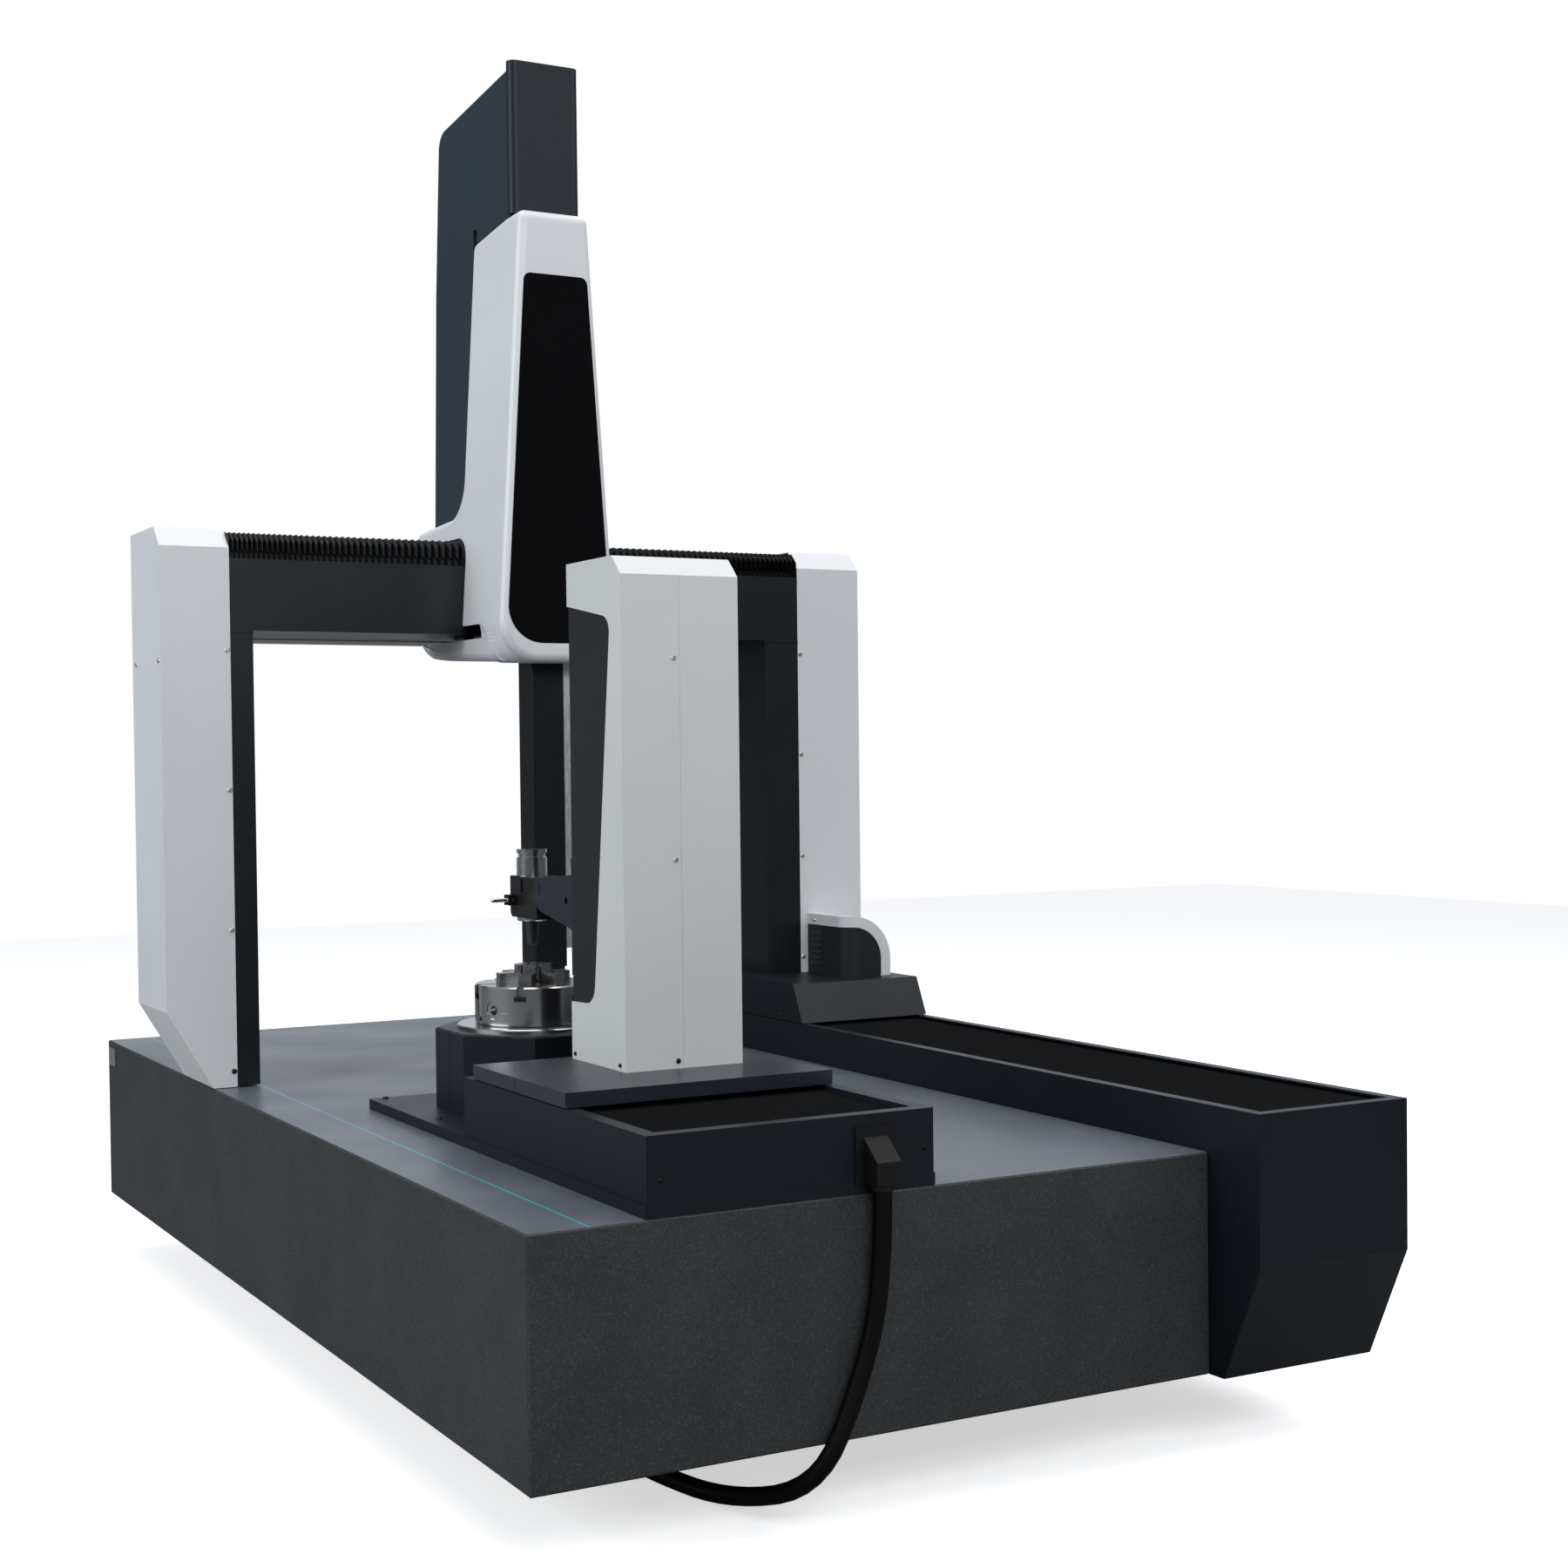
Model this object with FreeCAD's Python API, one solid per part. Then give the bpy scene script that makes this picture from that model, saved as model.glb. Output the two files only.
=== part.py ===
"""A bridge coordinate measuring machine with a rotary table, a chuck and a counter column.

X runs along the front edge of the stone and along the beam, Y runs back along the stone, Z is up.
The origin is on the floor, under the middle of the whole outline. All sizes are in millimetres.
"""
import FreeCAD, Part
import math
import os

V = FreeCAD.Vector

# Stone base and its feet
stone_width = 1500.0
stone_length = 3150.0
stone_height = 455.0
stone_bevel = 4.0
side_plate_length = 76.0
side_plate_height = 52.0
side_plate_thickness = 1.5
side_plate_inset = 12.0
side_plate_drop = 18.0
foot_height = 160.0
foot_radius = 90.0
foot_neck_radius = 52.0
foot_inset_x = 280.0
foot_inset_y = 690.0

# Running clearance of every air bearing, of turned shafts, and the sheet of the covers
air_gap = 0.3
shaft_gap = 0.05
sheet = 3.0
screw_head = 3.5

# Long guide housing on the right side of the stone
trough_width = 397.0
trough_front_overhang = 150.0
tray_height = 96.0
tray_wall = 4.0
tray_rim = 26.0
housing_upright = 216.0
housing_slope_run = 108.0
housing_wall = 8.0
guide_width = 277.0
guide_height = 38.0
guide_pad_height = 12.0

# Bridge
bridge_stand = 1979.0
clear_height = 1145.0
beam_height = 180.0
beam_depth = 271.0
beam_wall = 14.0
leg_depth = 271.0
left_leg_flush = 58.0
left_leg_reach = 59.0
left_cover_overhang = 115.0
left_cover_cut_height = 198.0
right_leg_stand = 88.0
right_leg_flush = 107.0
cover_depth = 291.0
cover_top = 1401.0
cover_bevel = 50.0
cap_thickness = 6.0
bellows_height = 68.0
pleat_depth = 7.0

# Carriage that runs in the long guide
ycar_front_run = 340.0
ycar_length = 980.0
ycar_height = 101.0
ycar_slope = 48.0
ycar_gap = 2.0

# Drive cover at the foot of the right pylon
motor_offset = 22.0
motor_width = 144.0
motor_depth = 214.0
motor_height = 168.0
motor_corner = 120.0
motor_band = 30.0
motor_edge = 48.0
louvre_count = 6
louvre_pitch = 17.4
louvre_length = 58.0

# Carriage on the beam
carriage_stand = 837.0
carriage_front_run = 272.0
carriage_bottom = 1062.0
carriage_top = 2208.0
carriage_half_low = 167.0
carriage_taper = 0.0636
carriage_wall = 6.0
carriage_edge = 22.0
carriage_hull = 100.0
carriage_pan_half = 153.0
carriage_pan_edge = 30.0
carriage_pan_back = 306.0
carriage_notch = 136.0
panel_bottom = 1110.0
panel_top = 2047.0
panel_margin = 17.0
panel_thickness = 2.5

# Tower above the carriage
tower_half = 90.0
tower_front_half = 96.0
tower_top = 2595.0
tower_step = 18.0
tower_front_back = 53.0
tower_front_depth = 25.0

# Ram and probe head
ram_size = 90.0
ram_front_back = 83.0
ram_bottom = 275.0
ram_top = 1680.0
strip_width = 20.0
strip_depth = 34.0
strip_bottom = 322.0
head_radius = 31.0
head_length = 52.0
probe_radius = 14.0
stylus_length = 34.0
ball_radius = 3.0
roller_radius = 20.0

# Base plate, tail bed and rotary table
plate_left = 227.0
plate_width = 611.0
plate_front = 2.0
plate_length = 1466.0
plate_thickness = 24.0
bed_length = 867.0
bed_inset = 4.0
bed_height = 123.0
bed_rim = 30.0
bed_recess = 26.0
table_back = 1200.0
table_half = 207.0
table_height = 180.0
table_bevel = 121.0
faceplate_radius = 174.0
faceplate_thickness = 8.0

# Chuck
chuck_radius = 134.0
chuck_height = 90.0
chuck_bore = 22.0
key_count = 3
jaw_count = 6
jaw_angle = -6.0
jaw_width = 30.0
jaw_inner = 18.0
jaw_tip_length = 16.0
jaw_tip_half = 5.5
jaw_step = 41.0
jaw_outer = 84.0
jaw_low_height = 24.0
jaw_height = 41.6
jaw_neck_start = 32.0
jaw_neck_end = 124.0
neck_width = 16.0
neck_depth = 21.0
root_width = 28.0
root_height = 11.0
serration_pitch = 5.2
serration_height = 2.4
serration_depth = 1.3
slot_clearance = 0.3
slot_end = 22.0
key_radius = 10.5
key_depth = 22.0
key_rim_radius = 20.5
key_rim_depth = 3.0
key_height = 37.0
seam_height = 31.0
plug_radius = 5.5
plug_height = 15.0

# Slide, column, arm and centre
slide_left = 233.0
slide_width = 590.0
slide_front = 353.0
slide_length = 469.0
slide_thickness = 29.0
column_left = 449.0
column_width = 268.0
column_front = 537.0
column_depth = 262.0
column_height = 1044.0
column_bevel = 39.0
rail_width = 30.0
rail_height = 17.0
arm_half = 38.0
arm_head_run = 111.0
arm_bracket_half = 40.0
arm_level = 500.0
arm_block_height = 94.0
arm_plate = 30.0
arm_plate_height = 250.0
sleeve_radius = 35.0
sleeve_height = 61.0
ring_height = 9.0
quill_radius = 14.8
quill_end_radius = 12.6
quill_tip_radius = 9.0
quill_drop = 56.0
quill_chamfer = 4.0
lever_offset = 10.5
lever_radius = 5.0
lever_length = 42.0
lever_pin_radius = 4.0
lug_gap = 8.5
lug_thickness = 5.0

# Gland hood and conduit
hood_stand = 703.0
hood_width = 52.0
hood_depth = 50.0
hood_plate_width = 88.0
hood_plate_height = 104.0
conduit_radius = 18.0
collar_radius = 21.5
collar_length = 12.0
coil_radius = 198.0
coil_back = 900.0
coil_stand = 700.0
connector_radius = 24.0
connector_length = 112.0

# Places worked out from the sizes
x_left = -(stone_width + trough_width - left_cover_overhang - screw_head) / 2
x_right = x_left + stone_width
y_front = -(stone_length - trough_front_overhang) / 2
y_back = y_front + stone_length
z_top = foot_height + stone_height
z_base = foot_height
z_beam = z_top + clear_height
z_beam_top = z_beam + beam_height
y_bridge = y_front + bridge_stand
x_carriage = x_left + carriage_stand
y_carriage = y_bridge - carriage_front_run
y_beam_back = y_bridge + beam_depth
x_leg_l0 = x_left + left_leg_reach
x_leg_l1 = x_leg_l0 + left_leg_flush
x_leg_r0 = x_right + right_leg_stand
x_leg_r1 = x_leg_r0 + right_leg_flush
x_cover_l = x_left - left_cover_overhang
x_cover_r = x_right + trough_width
z_tray = z_top + tray_height
z_ycar0 = z_tray + ycar_gap
z_ycar1 = z_ycar0 + ycar_height
y_ycar0 = y_bridge - ycar_front_run
y_ycar1 = y_ycar0 + ycar_length
x_table = x_left + plate_left + plate_width / 2
y_table = y_front + table_back
z_plate = z_top + plate_thickness
z_bed = z_plate + bed_height
z_table = z_plate + table_height
z_face = z_table + air_gap + faceplate_thickness
z_chuck = z_face + chuck_height
z_slide = z_bed + ycar_gap
z_column = z_slide + slide_thickness
z_axis_arm = z_top + arm_level

made = {}


def block(x0, x1, y0, y1, z0, z1):
    return Part.makeBox(x1 - x0, y1 - y0, z1 - z0, V(x0, y0, z0))


def rod(radius, start, end):
    line = V(*end) - V(*start)
    return Part.makeCylinder(radius, line.Length, V(*start), line)


def joined(shapes):
    shapes = list(shapes)
    whole = shapes[0]
    if len(shapes) > 1:
        whole = whole.multiFuse(shapes[1:])
    return whole.removeSplitter()


def rounded_wire(corners, place):
    """A closed wire through (u, v, radius) corners; place turns (u, v) into a point."""
    edges = []
    ends = []
    count = len(corners)
    for i, (u, v, radius) in enumerate(corners):
        here = V(u, v, 0)
        before = V(*corners[i - 1][:2], 0) - here
        after = V(*corners[(i + 1) % count][:2], 0) - here
        before.normalize()
        after.normalize()
        half = before.getAngle(after) / 2
        if radius <= 0:
            ends.append((here, None, here))
            continue
        reach = radius / math.tan(half)
        middle = before + after
        middle.normalize()
        bulge = here + middle * (radius / math.sin(half) - radius)
        ends.append((here + before * reach, bulge, here + after * reach))
    for i, (start, bulge, end) in enumerate(ends):
        following = ends[(i + 1) % count][0]
        if bulge is not None:
            edges.append(Part.Arc(place(start), place(bulge), place(end)).toShape())
        if (following - end).Length > 1e-6:
            edges.append(Part.LineSegment(place(end), place(following)).toShape())
    return Part.Wire(edges)


def prism_yz(corners, x0, x1, inset=0.0):
    face = Part.Face(rounded_wire(corners, lambda p: V(x0, p.x, p.y)))
    if inset:
        face = face.makeOffset2D(-inset)
    return face.extrude(V(x1 - x0, 0, 0))


def prism_xz(corners, y0, y1, inset=0.0):
    face = Part.Face(rounded_wire(corners, lambda p: V(p.x, y0, p.y)))
    if inset:
        face = face.makeOffset2D(-inset)
    return face.extrude(V(0, y1 - y0, 0))


def prism_xy(corners, z0, z1):
    face = Part.Face(rounded_wire(corners, lambda p: V(p.x, p.y, z0)))
    return face.extrude(V(0, 0, z1 - z0))


def revolved(profile, centre):
    """A turned solid: profile is (radius, height) pairs from the axis out and back to it."""
    points = [V(centre[0] + r, centre[1], centre[2] + h) for r, h in profile]
    points.append(points[0])
    face = Part.Face(Part.makePolygon(points))
    return face.revolve(V(*centre), V(0, 0, 1), 360)


def edges_along(shape, direction, test):
    """The straight edges of a shape that run along a direction and pass a test on their middle."""
    found = []
    for edge in shape.Edges:
        if len(edge.Vertexes) != 2:
            continue
        span = edge.Vertexes[1].Point - edge.Vertexes[0].Point
        if span.Length < 1 or abs(span.normalize().dot(direction)) < 0.99:
            continue
        if test(edge.CenterOfMass):
            found.append(edge)
    return found


def button(at, direction, radius=7.0, height=screw_head):
    return Part.makeCone(radius, radius * 0.62, height, V(*at), V(*direction))


def keep(name, shape):
    made[name] = shape
    if not shape.isValid():
        print("not valid:", name)
    shape.exportStep(os.path.join("parts", name + ".step"))


# Stone base


def granite_base():
    stone = block(x_left, x_right, y_front, y_back, z_base, z_top)
    return stone.makeChamfer(stone_bevel, stone.Edges)


def side_plate():
    """A small bare plate on the left side of the stone, near its rear upper corner."""
    y1 = y_back - side_plate_inset
    z1 = z_top - side_plate_drop
    plate = block(x_left - side_plate_thickness, x_left, y1 - side_plate_length, y1, z1 - side_plate_height, z1)
    return plate.makeChamfer(3, edges_along(plate, V(1, 0, 0), lambda point: True))


def damping_feet():
    """Four cast dampers, each with a wide pad, a spring pot, a neck and a head plate."""
    pad = foot_radius
    pot = foot_radius * 0.86
    neck = foot_neck_radius
    head = foot_radius * 0.8
    h = foot_height
    profile = [(0, 0), (pad, 0), (pad, 14), (pad - 6, 20), (pot, 20), (pot, h * 0.52), (pot - 10, h * 0.6),
               (neck, h * 0.6), (neck, h - 24), (head, h - 18), (head, h), (0, h)]
    feet = []
    for x in (x_left + foot_inset_x, x_right - foot_inset_x):
        for y in (y_front + foot_inset_y, y_back - foot_inset_y):
            feet.append(revolved(profile, (x, y, 0)))
    return Part.makeCompound(feet)


# Long guide on the right side


def y_trough_housing():
    y0 = y_front - trough_front_overhang
    z0 = z_base
    outline = [(y0, z_top, 0), (y0, z_top - housing_upright, 0), (y0 + housing_slope_run, z0, 0),
               (y_back, z0, 0), (y_back, z_top, 0)]
    shell = prism_yz(outline, x_right, x_cover_r)
    hollow = prism_yz(outline, x_right + housing_wall, x_cover_r - housing_wall, housing_wall)
    return shell.cut(hollow)


def y_trough_tray():
    """An upright sheet frame with its rim folded inwards."""
    y0 = y_front - trough_front_overhang
    walls = block(x_right, x_cover_r, y0, y_back, z_top, z_tray)
    walls = walls.cut(block(x_right + tray_wall, x_cover_r - tray_wall, y0 + tray_wall, y_back - tray_wall,
                            z_top - 1, z_tray - tray_wall))
    return walls.cut(block(x_right + tray_rim, x_cover_r - tray_rim, y0 + tray_rim, y_back - tray_rim,
                           z_top, z_tray + 1))


def y_guide_beam():
    x_mid = (x_right + x_cover_r) / 2
    beam = block(x_mid - guide_width / 2, x_mid + guide_width / 2,
                 y_front - trough_front_overhang + 12, y_back - 12, z_top, z_top + guide_height)
    return beam.makeChamfer(3, edges_along(beam, V(0, 1, 0), lambda p: p.z > z_top + 1))


def pleated_run_y(x0, x1, y0, y1, z0, z1, pitch):
    """A folded cover seen from its side as a zigzag along Y."""
    count = max(2, round((y1 - y0) / pitch))
    step = (y1 - y0) / count
    crest = [(y0 + i * step / 2, z1 if i % 2 else z1 - pleat_depth) for i in range(2 * count + 1)]
    outline = [(y0, z0, 0)] + [(y, z, 0) for y, z in crest] + [(y1, z0, 0)]
    return prism_yz(outline, x0, x1)


def y_bellows(y0, y1):
    inner = tray_wall + 5
    z1 = z_tray - tray_wall - 4
    return pleated_run_y(x_right + inner, x_cover_r - inner, y0, y1, z_top + guide_height + 6, z1, 36)


# Bridge: carriage in the long guide, legs, beam and covers


def y_carriage_block():
    x_mid = (x_right + x_cover_r) / 2
    half = trough_width / 2 - tray_rim - 6
    z0 = z_top + guide_height + guide_pad_height
    core = block(x_mid - half, x_mid + half, y_ycar0 + 62, y_ycar1 - 62, z0, z_ycar1 - sheet - 1)
    return core.makeChamfer(5, edges_along(core, V(1, 0, 0), lambda p: p.z > z0 + 1))


def bridge_air_bearings():
    """Four pads on the long guide, two that clasp its sides, and two under the left foot."""
    x_mid = (x_right + x_cover_r) / 2
    z0 = z_top + guide_height + air_gap
    z1 = z_top + guide_height + guide_pad_height
    pads = []
    for side in (-1, 1):
        for y in (y_ycar0 + 180, y_ycar1 - 180):
            x = x_mid + side * guide_width * 0.3
            pads.append(block(x - 45, x + 45, y - 60, y + 60, z0, z1))
    x0, x1 = left_foot_pad_span()
    for y in (y_bridge + 62, y_bridge + leg_depth - 62):
        pads.append(Part.makeCylinder((x1 - x0) / 2, 16 - air_gap, V((x0 + x1) / 2, y, z_top + air_gap)))
    return Part.makeCompound(pads)


def left_foot_pad_span():
    return x_left + 16, x_leg_l1 - 12


def y_carriage_cover():
    """A folded hood with a sloped apron at each end, open underneath and around the right leg."""
    z0 = z_ycar0
    z1 = z_ycar1
    outline = [(y_ycar0, z0, 0), (y_ycar0 + ycar_slope, z1, 0), (y_ycar1 - ycar_slope, z1, 0), (y_ycar1, z0, 0)]
    hood = prism_yz(outline, x_right, x_cover_r)
    hood = hood.makeFillet(5, edges_along(hood, V(1, 0, 0), lambda p: p.z > z1 - 1))
    inside = [(y_ycar0 + sheet, z0 - 9, 0), (y_ycar0 + ycar_slope + sheet, z1 - sheet, 0),
              (y_ycar1 - ycar_slope - sheet, z1 - sheet, 0), (y_ycar1 - sheet, z0 - 9, 0)]
    hood = hood.cut(prism_yz(inside, x_right + sheet, x_cover_r - sheet))
    leg_hole = block(x_leg_r0 - 1, right_leg_end() + 1, y_bridge - 1, y_bridge + leg_depth + 1, z1 - 9, z1 + 9)
    return hood.cut(leg_hole)


def right_leg_end():
    return x_cover_r - sheet - 2


def right_leg():
    """A deep leg: its dark inner part shows beside the white cover, the rest stands inside it."""
    z0 = z_ycar1 - sheet - 1
    shown = block(x_leg_r0, x_leg_r1, y_bridge, y_bridge + leg_depth, z0, z_beam - cap_thickness)
    hidden = block(x_leg_r1, right_leg_end(), y_bridge + sheet + 2, y_bridge + leg_depth - 2,
                   z0, z_beam - cap_thickness)
    cap = block(x_leg_r0 - 2, x_leg_r1 - 0.5, y_bridge - 2, y_bridge + leg_depth,
                z_beam - cap_thickness, z_beam)
    cap_in = block(x_leg_r1 - 0.5, right_leg_end(), y_bridge + sheet + 2, y_bridge + leg_depth - 2,
                   z_beam - cap_thickness, z_beam)
    return joined([shown, hidden, cap, cap_in])


def left_leg():
    """The lighter leg, cut back below so that it stands on the edge of the stone."""
    gap = sheet + 2
    x_out = x_cover_l + gap
    z_foot = z_top + 4
    top = z_beam - cap_thickness
    z_cut = z_top + left_cover_cut_height
    outline = [(x_leg_l0, z_foot, 0), (x_left + 10, z_foot, 0), (x_out, z_cut + 8, 0), (x_out, top, 0),
               (x_leg_l0, top, 0)]
    hidden = prism_xz(outline, y_bridge + gap, y_bridge + leg_depth - 2)
    shown = block(x_leg_l0, x_leg_l1, y_bridge, y_bridge + leg_depth, z_foot, top)
    cap = block(x_leg_l0 + 0.5, x_leg_l1 + 2, y_bridge - 2, y_bridge + leg_depth, top, z_beam)
    cap_in = block(x_out, x_leg_l0 + 0.5, y_bridge + gap, y_bridge + leg_depth - 2, top, z_beam)
    leg = joined([hidden, shown, cap, cap_in])
    x0, x1 = left_foot_pad_span()
    for y in (y_bridge + 62, y_bridge + leg_depth - 62):
        leg = leg.cut(Part.makeCylinder((x1 - x0) / 2 + 1, 12, V((x0 + x1) / 2, y, z_foot)))
    return leg


def beam():
    """A closed box beam whose ends are set back inside the pylon covers."""
    inner = block(x_leg_l0 + 0.5, x_leg_r1 - 0.5, y_bridge, y_beam_back, z_beam, z_beam_top)
    set_back = sheet + 2
    ends = block(x_cover_l + set_back, right_leg_end(), y_bridge + set_back, y_beam_back - 2,
                 z_beam, z_beam_top)
    tube = joined([inner, ends])
    hollow = block(x_left, x_leg_r1, y_bridge + beam_wall, y_beam_back - beam_wall,
                   z_beam + beam_wall, z_beam_top - beam_wall)
    return tube.cut(hollow)


def left_pylon_cover():
    """Folded sheet round the left leg, with a bevelled brow and a slanted lower end."""
    z_cut = z_top + left_cover_cut_height
    z1 = z_top + cover_top
    floor = z_top + 2
    y1 = y_bridge + cover_depth
    outline = [(x_leg_l0, floor, 0), (x_left, floor, 0), (x_cover_l, z_cut, 0), (x_cover_l, z1, 0),
               (x_leg_l0, z1, 0)]
    brow = [(y_bridge, floor - 20, 0), (y_bridge, z1 - cover_bevel, 0), (y_bridge + cover_bevel, z1, 0),
            (y1, z1, 0), (y1, floor - 20, 0)]
    outer = prism_xz(outline, y_bridge, y1).common(prism_yz(brow, x_cover_l - 1, x_leg_l0 + 1))
    inside = [(x_leg_l0 + 1, floor - 5, 0), (x_left + sheet + 2.5, floor - 5, 0), (x_cover_l + sheet, z_cut, 0),
              (x_cover_l + sheet, z1 - sheet, 0), (x_leg_l0 + 1, z1 - sheet, 0)]
    inner = prism_xz(inside, y_bridge + sheet, y1 - sheet)
    inner = inner.common(prism_yz(brow, x_cover_l - 1, x_leg_l0 + 2, sheet))
    return outer.cut(inner)


def right_pylon_cover():
    floor = z_ycar1
    z1 = z_top + cover_top
    y1 = y_bridge + cover_depth
    brow = [(y_bridge, floor, 0), (y_bridge, z1 - cover_bevel, 0), (y_bridge + cover_bevel, z1, 0),
            (y1, z1, 0), (y1, floor, 0)]
    brow_in = [(y_bridge + sheet, floor - 1, 0), (y_bridge + sheet, z1 - cover_bevel - sheet * 0.4, 0),
               (y_bridge + cover_bevel + sheet * 0.4, z1 - sheet, 0), (y1 - sheet, z1 - sheet, 0),
               (y1 - sheet, floor - 1, 0)]
    outer = prism_yz(brow, x_leg_r1, x_cover_r)
    return outer.cut(prism_yz(brow_in, x_leg_r1 - 1, x_cover_r - sheet))


def rear_cable_tray():
    """A flat shelf behind the beam with an upright back edge and an arm at each end."""
    gap = 50.0
    depth = 185.0
    y0 = y_beam_back + gap
    y1 = y0 + depth
    shelf = block(x_leg_l1, x_leg_r0, y0, y1, z_beam - 4, z_beam)
    back = block(x_leg_l1, x_leg_r0, y1 - 4, y1, z_beam, z_beam + 70)
    arms = []
    for x in (x_leg_l1 + 4, x_leg_r0 - 44):
        arms.append(block(x, x + 40, y_beam_back, y0 + 60, z_beam, z_beam + 8))
        arms.append(block(x, x + 40, y_beam_back, y_beam_back + 8, z_beam, z_beam + 70))
    return joined([shelf, back] + arms)


def beam_bellows(x0, x1, pitch_wall, pitch_carriage):
    """A pleated cover on top of the beam. Its folds are closer at the pylon than at the carriage."""
    z0 = z_beam_top + air_gap
    z1 = z_beam_top + bellows_height
    span = abs(x1 - x0)
    count = round(2 * span / (pitch_wall + pitch_carriage))
    growth = (pitch_carriage - pitch_wall) / span
    outline = [(x0, z0, 0)]
    for i in range(2 * count + 1):
        t = i / (2 * count)
        x = x0 + (x1 - x0) * t * (1 - growth * count * (1 - t))
        outline.append((x, z1 if i % 2 else z1 - pleat_depth, 0))
    outline.append((x1, z0, 0))
    return prism_xz(outline, y_bridge + 3, y_beam_back - 3)


def motor_cover_band():
    """The white arch over the drive: it runs over the top and bends down the right end."""
    x0 = x_leg_r1 + motor_offset
    x1 = x0 + motor_width
    z1 = z_ycar1 + motor_height
    y0 = y_bridge - motor_depth
    outer = prism_xz([(x0, z_ycar1, 0), (x0, z1, 0), (x1, z1, motor_corner), (x1, z_ycar1, 0)], y0, y_bridge)
    outer = outer.makeFillet(motor_edge, edges_along(outer, V(0, 0, 1), lambda p: p.x < x0 + 1 and p.y < y0 + 1))
    inner_x1 = x1 - motor_band
    inner_z1 = z1 - motor_band
    radius = motor_corner - motor_band
    inner = prism_xz([(x0 - 1, z_ycar1 - 1, 0), (x0 - 1, inner_z1, 0), (inner_x1, inner_z1, radius),
                      (inner_x1, z_ycar1 - 1, 0)], y0 - 1, y_bridge + 1)
    return outer.cut(inner)


def motor_cover_panel():
    """The dark louvred case under the arch, a little set back from it."""
    back = 2.0
    x0 = x_leg_r1 + motor_offset + back
    x1 = x0 - back + motor_width - motor_band
    y0 = y_bridge - motor_depth + back
    z1 = z_ycar1 + motor_height - motor_band
    outline = [(x0, z_ycar1, 0), (x0, z1, 0), (x1, z1, motor_corner - motor_band), (x1, z_ycar1, 0)]
    case = prism_xz(outline, y0, y_bridge)
    case = case.makeFillet(motor_edge - back, edges_along(case, V(0, 0, 1), lambda p: p.x < x0 + 1 and p.y < y0 + 1))
    hollow = prism_xz(outline, y0 + sheet, y_bridge - sheet, sheet)
    case = case.cut(hollow.common(block(x0 + 30, x1, y0 + 30, y_bridge, z_ycar1 - 1, z1)))
    louvres = []
    y_mid = y_bridge - 50
    for i in range(louvre_count):
        z = z_ycar1 + 24 + i * louvre_pitch
        fin = prism_xz([(x0 + 0.5, z, 0), (x0 - 4.5, z, 0), (x0 + 0.5, z + 11, 0)],
                       y_mid - louvre_length / 2, y_mid + louvre_length / 2)
        louvres.append(fin)
    return joined([case] + louvres)


def bridge_screws():
    """Button screws of the pylon covers, the motor arch and the guide hood."""
    y = y_bridge
    left = [(x_leg_l0 - 7.5, y, z_top + h) for h in (41, 395, 746, 1096)]
    right = [(x_leg_r1 + 9, y, z_top + h) for h in (243, 532, 821, 1107)]
    screws = [button(at, (0, -1, 0)) for at in left + right]
    side = [(x_cover_l, y + 18, z_top + 1068), (x_cover_l, y + 250, z_top + 1068)]
    screws += [button(at, (-1, 0, 0)) for at in side]
    screws.append(button((x_leg_r1 + motor_offset, y - 42, z_ycar1 + motor_height - 17), (-1, 0, 0), 5))
    screws.append(button((x_right, y_ycar0 + 116, z_ycar0 + 12), (-1, 0, 0), 5))
    return Part.makeCompound(screws)


def y_drive_roller():
    """The friction roller that pulls the bridge along the side of the long guide."""
    x_mid = (x_right + x_cover_r) / 2
    x = x_mid - guide_width / 2 - roller_radius - air_gap
    y = y_ycar0 + 320
    z_under = z_top + guide_height + guide_pad_height
    wheel = Part.makeCylinder(roller_radius, 28, V(x, y, z_top + 6))
    shaft = Part.makeCylinder(7, z_under - z_top - 34 - air_gap, V(x, y, z_top + 34))
    return joined([wheel, shaft])


# Carriage on the beam


def carriage_half(z):
    return carriage_half_low - carriage_taper * (z - z_top - carriage_bottom)


def carriage_profile():
    """The carriage cover from the side, with the beam opening still filled and without its lower pan."""
    y0 = y_carriage
    zb = z_top + carriage_bottom
    zt = z_top + carriage_top
    y_hip = y_bridge - carriage_notch + 8
    return [(y0, zb, 0), (y0, zt, 26), (y0 + 101, zt, 60), (y0 + 326, zt - 26, 26),
            (y0 + 317, flare_top(y0 + 317), 95), (y0 + 658, flare_top(y0 + 658), 30),
            (y0 + 658, z_beam + 50, 24), (y_bridge + 20, z_beam + 50, 0), (y_bridge + 20, z_beam + 5, 0),
            (y_hip, z_beam + 5, 0), (y_hip, zb, 0)]


def flare_top(y):
    """Height of the saddle that reaches back over the beam, which falls slightly to the rear."""
    return z_beam_top + bellows_height + 73 - 0.056 * (y - y_carriage - 317)


def beam_opening():
    """The opening of the cover round the beam, as seen from the side, with room under the beam."""
    yb = y_bridge - ycar_gap - 1
    roof = z_beam_top + bellows_height + 10
    sill = z_beam - 15
    step = z_beam + 21
    far = y_bridge + 700
    return [(yb, roof, 60), (yb, step, 6), (yb - carriage_notch, step, 30), (yb - carriage_notch, sill, 5),
            (far, sill, 0), (far, roof, 0)]


def carriage_outline(z0, z1, inset):
    """The cover from the front: tapering sides that roll under in wide lower corners."""
    xc = x_carriage
    a, b = carriage_half(z0) - inset, carriage_half(z1) - inset
    roll = carriage_hull - inset
    return [(xc - a, z0, roll), (xc - b, z1, 0), (xc + b, z1, 0), (xc + a, z0, roll)]


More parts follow.
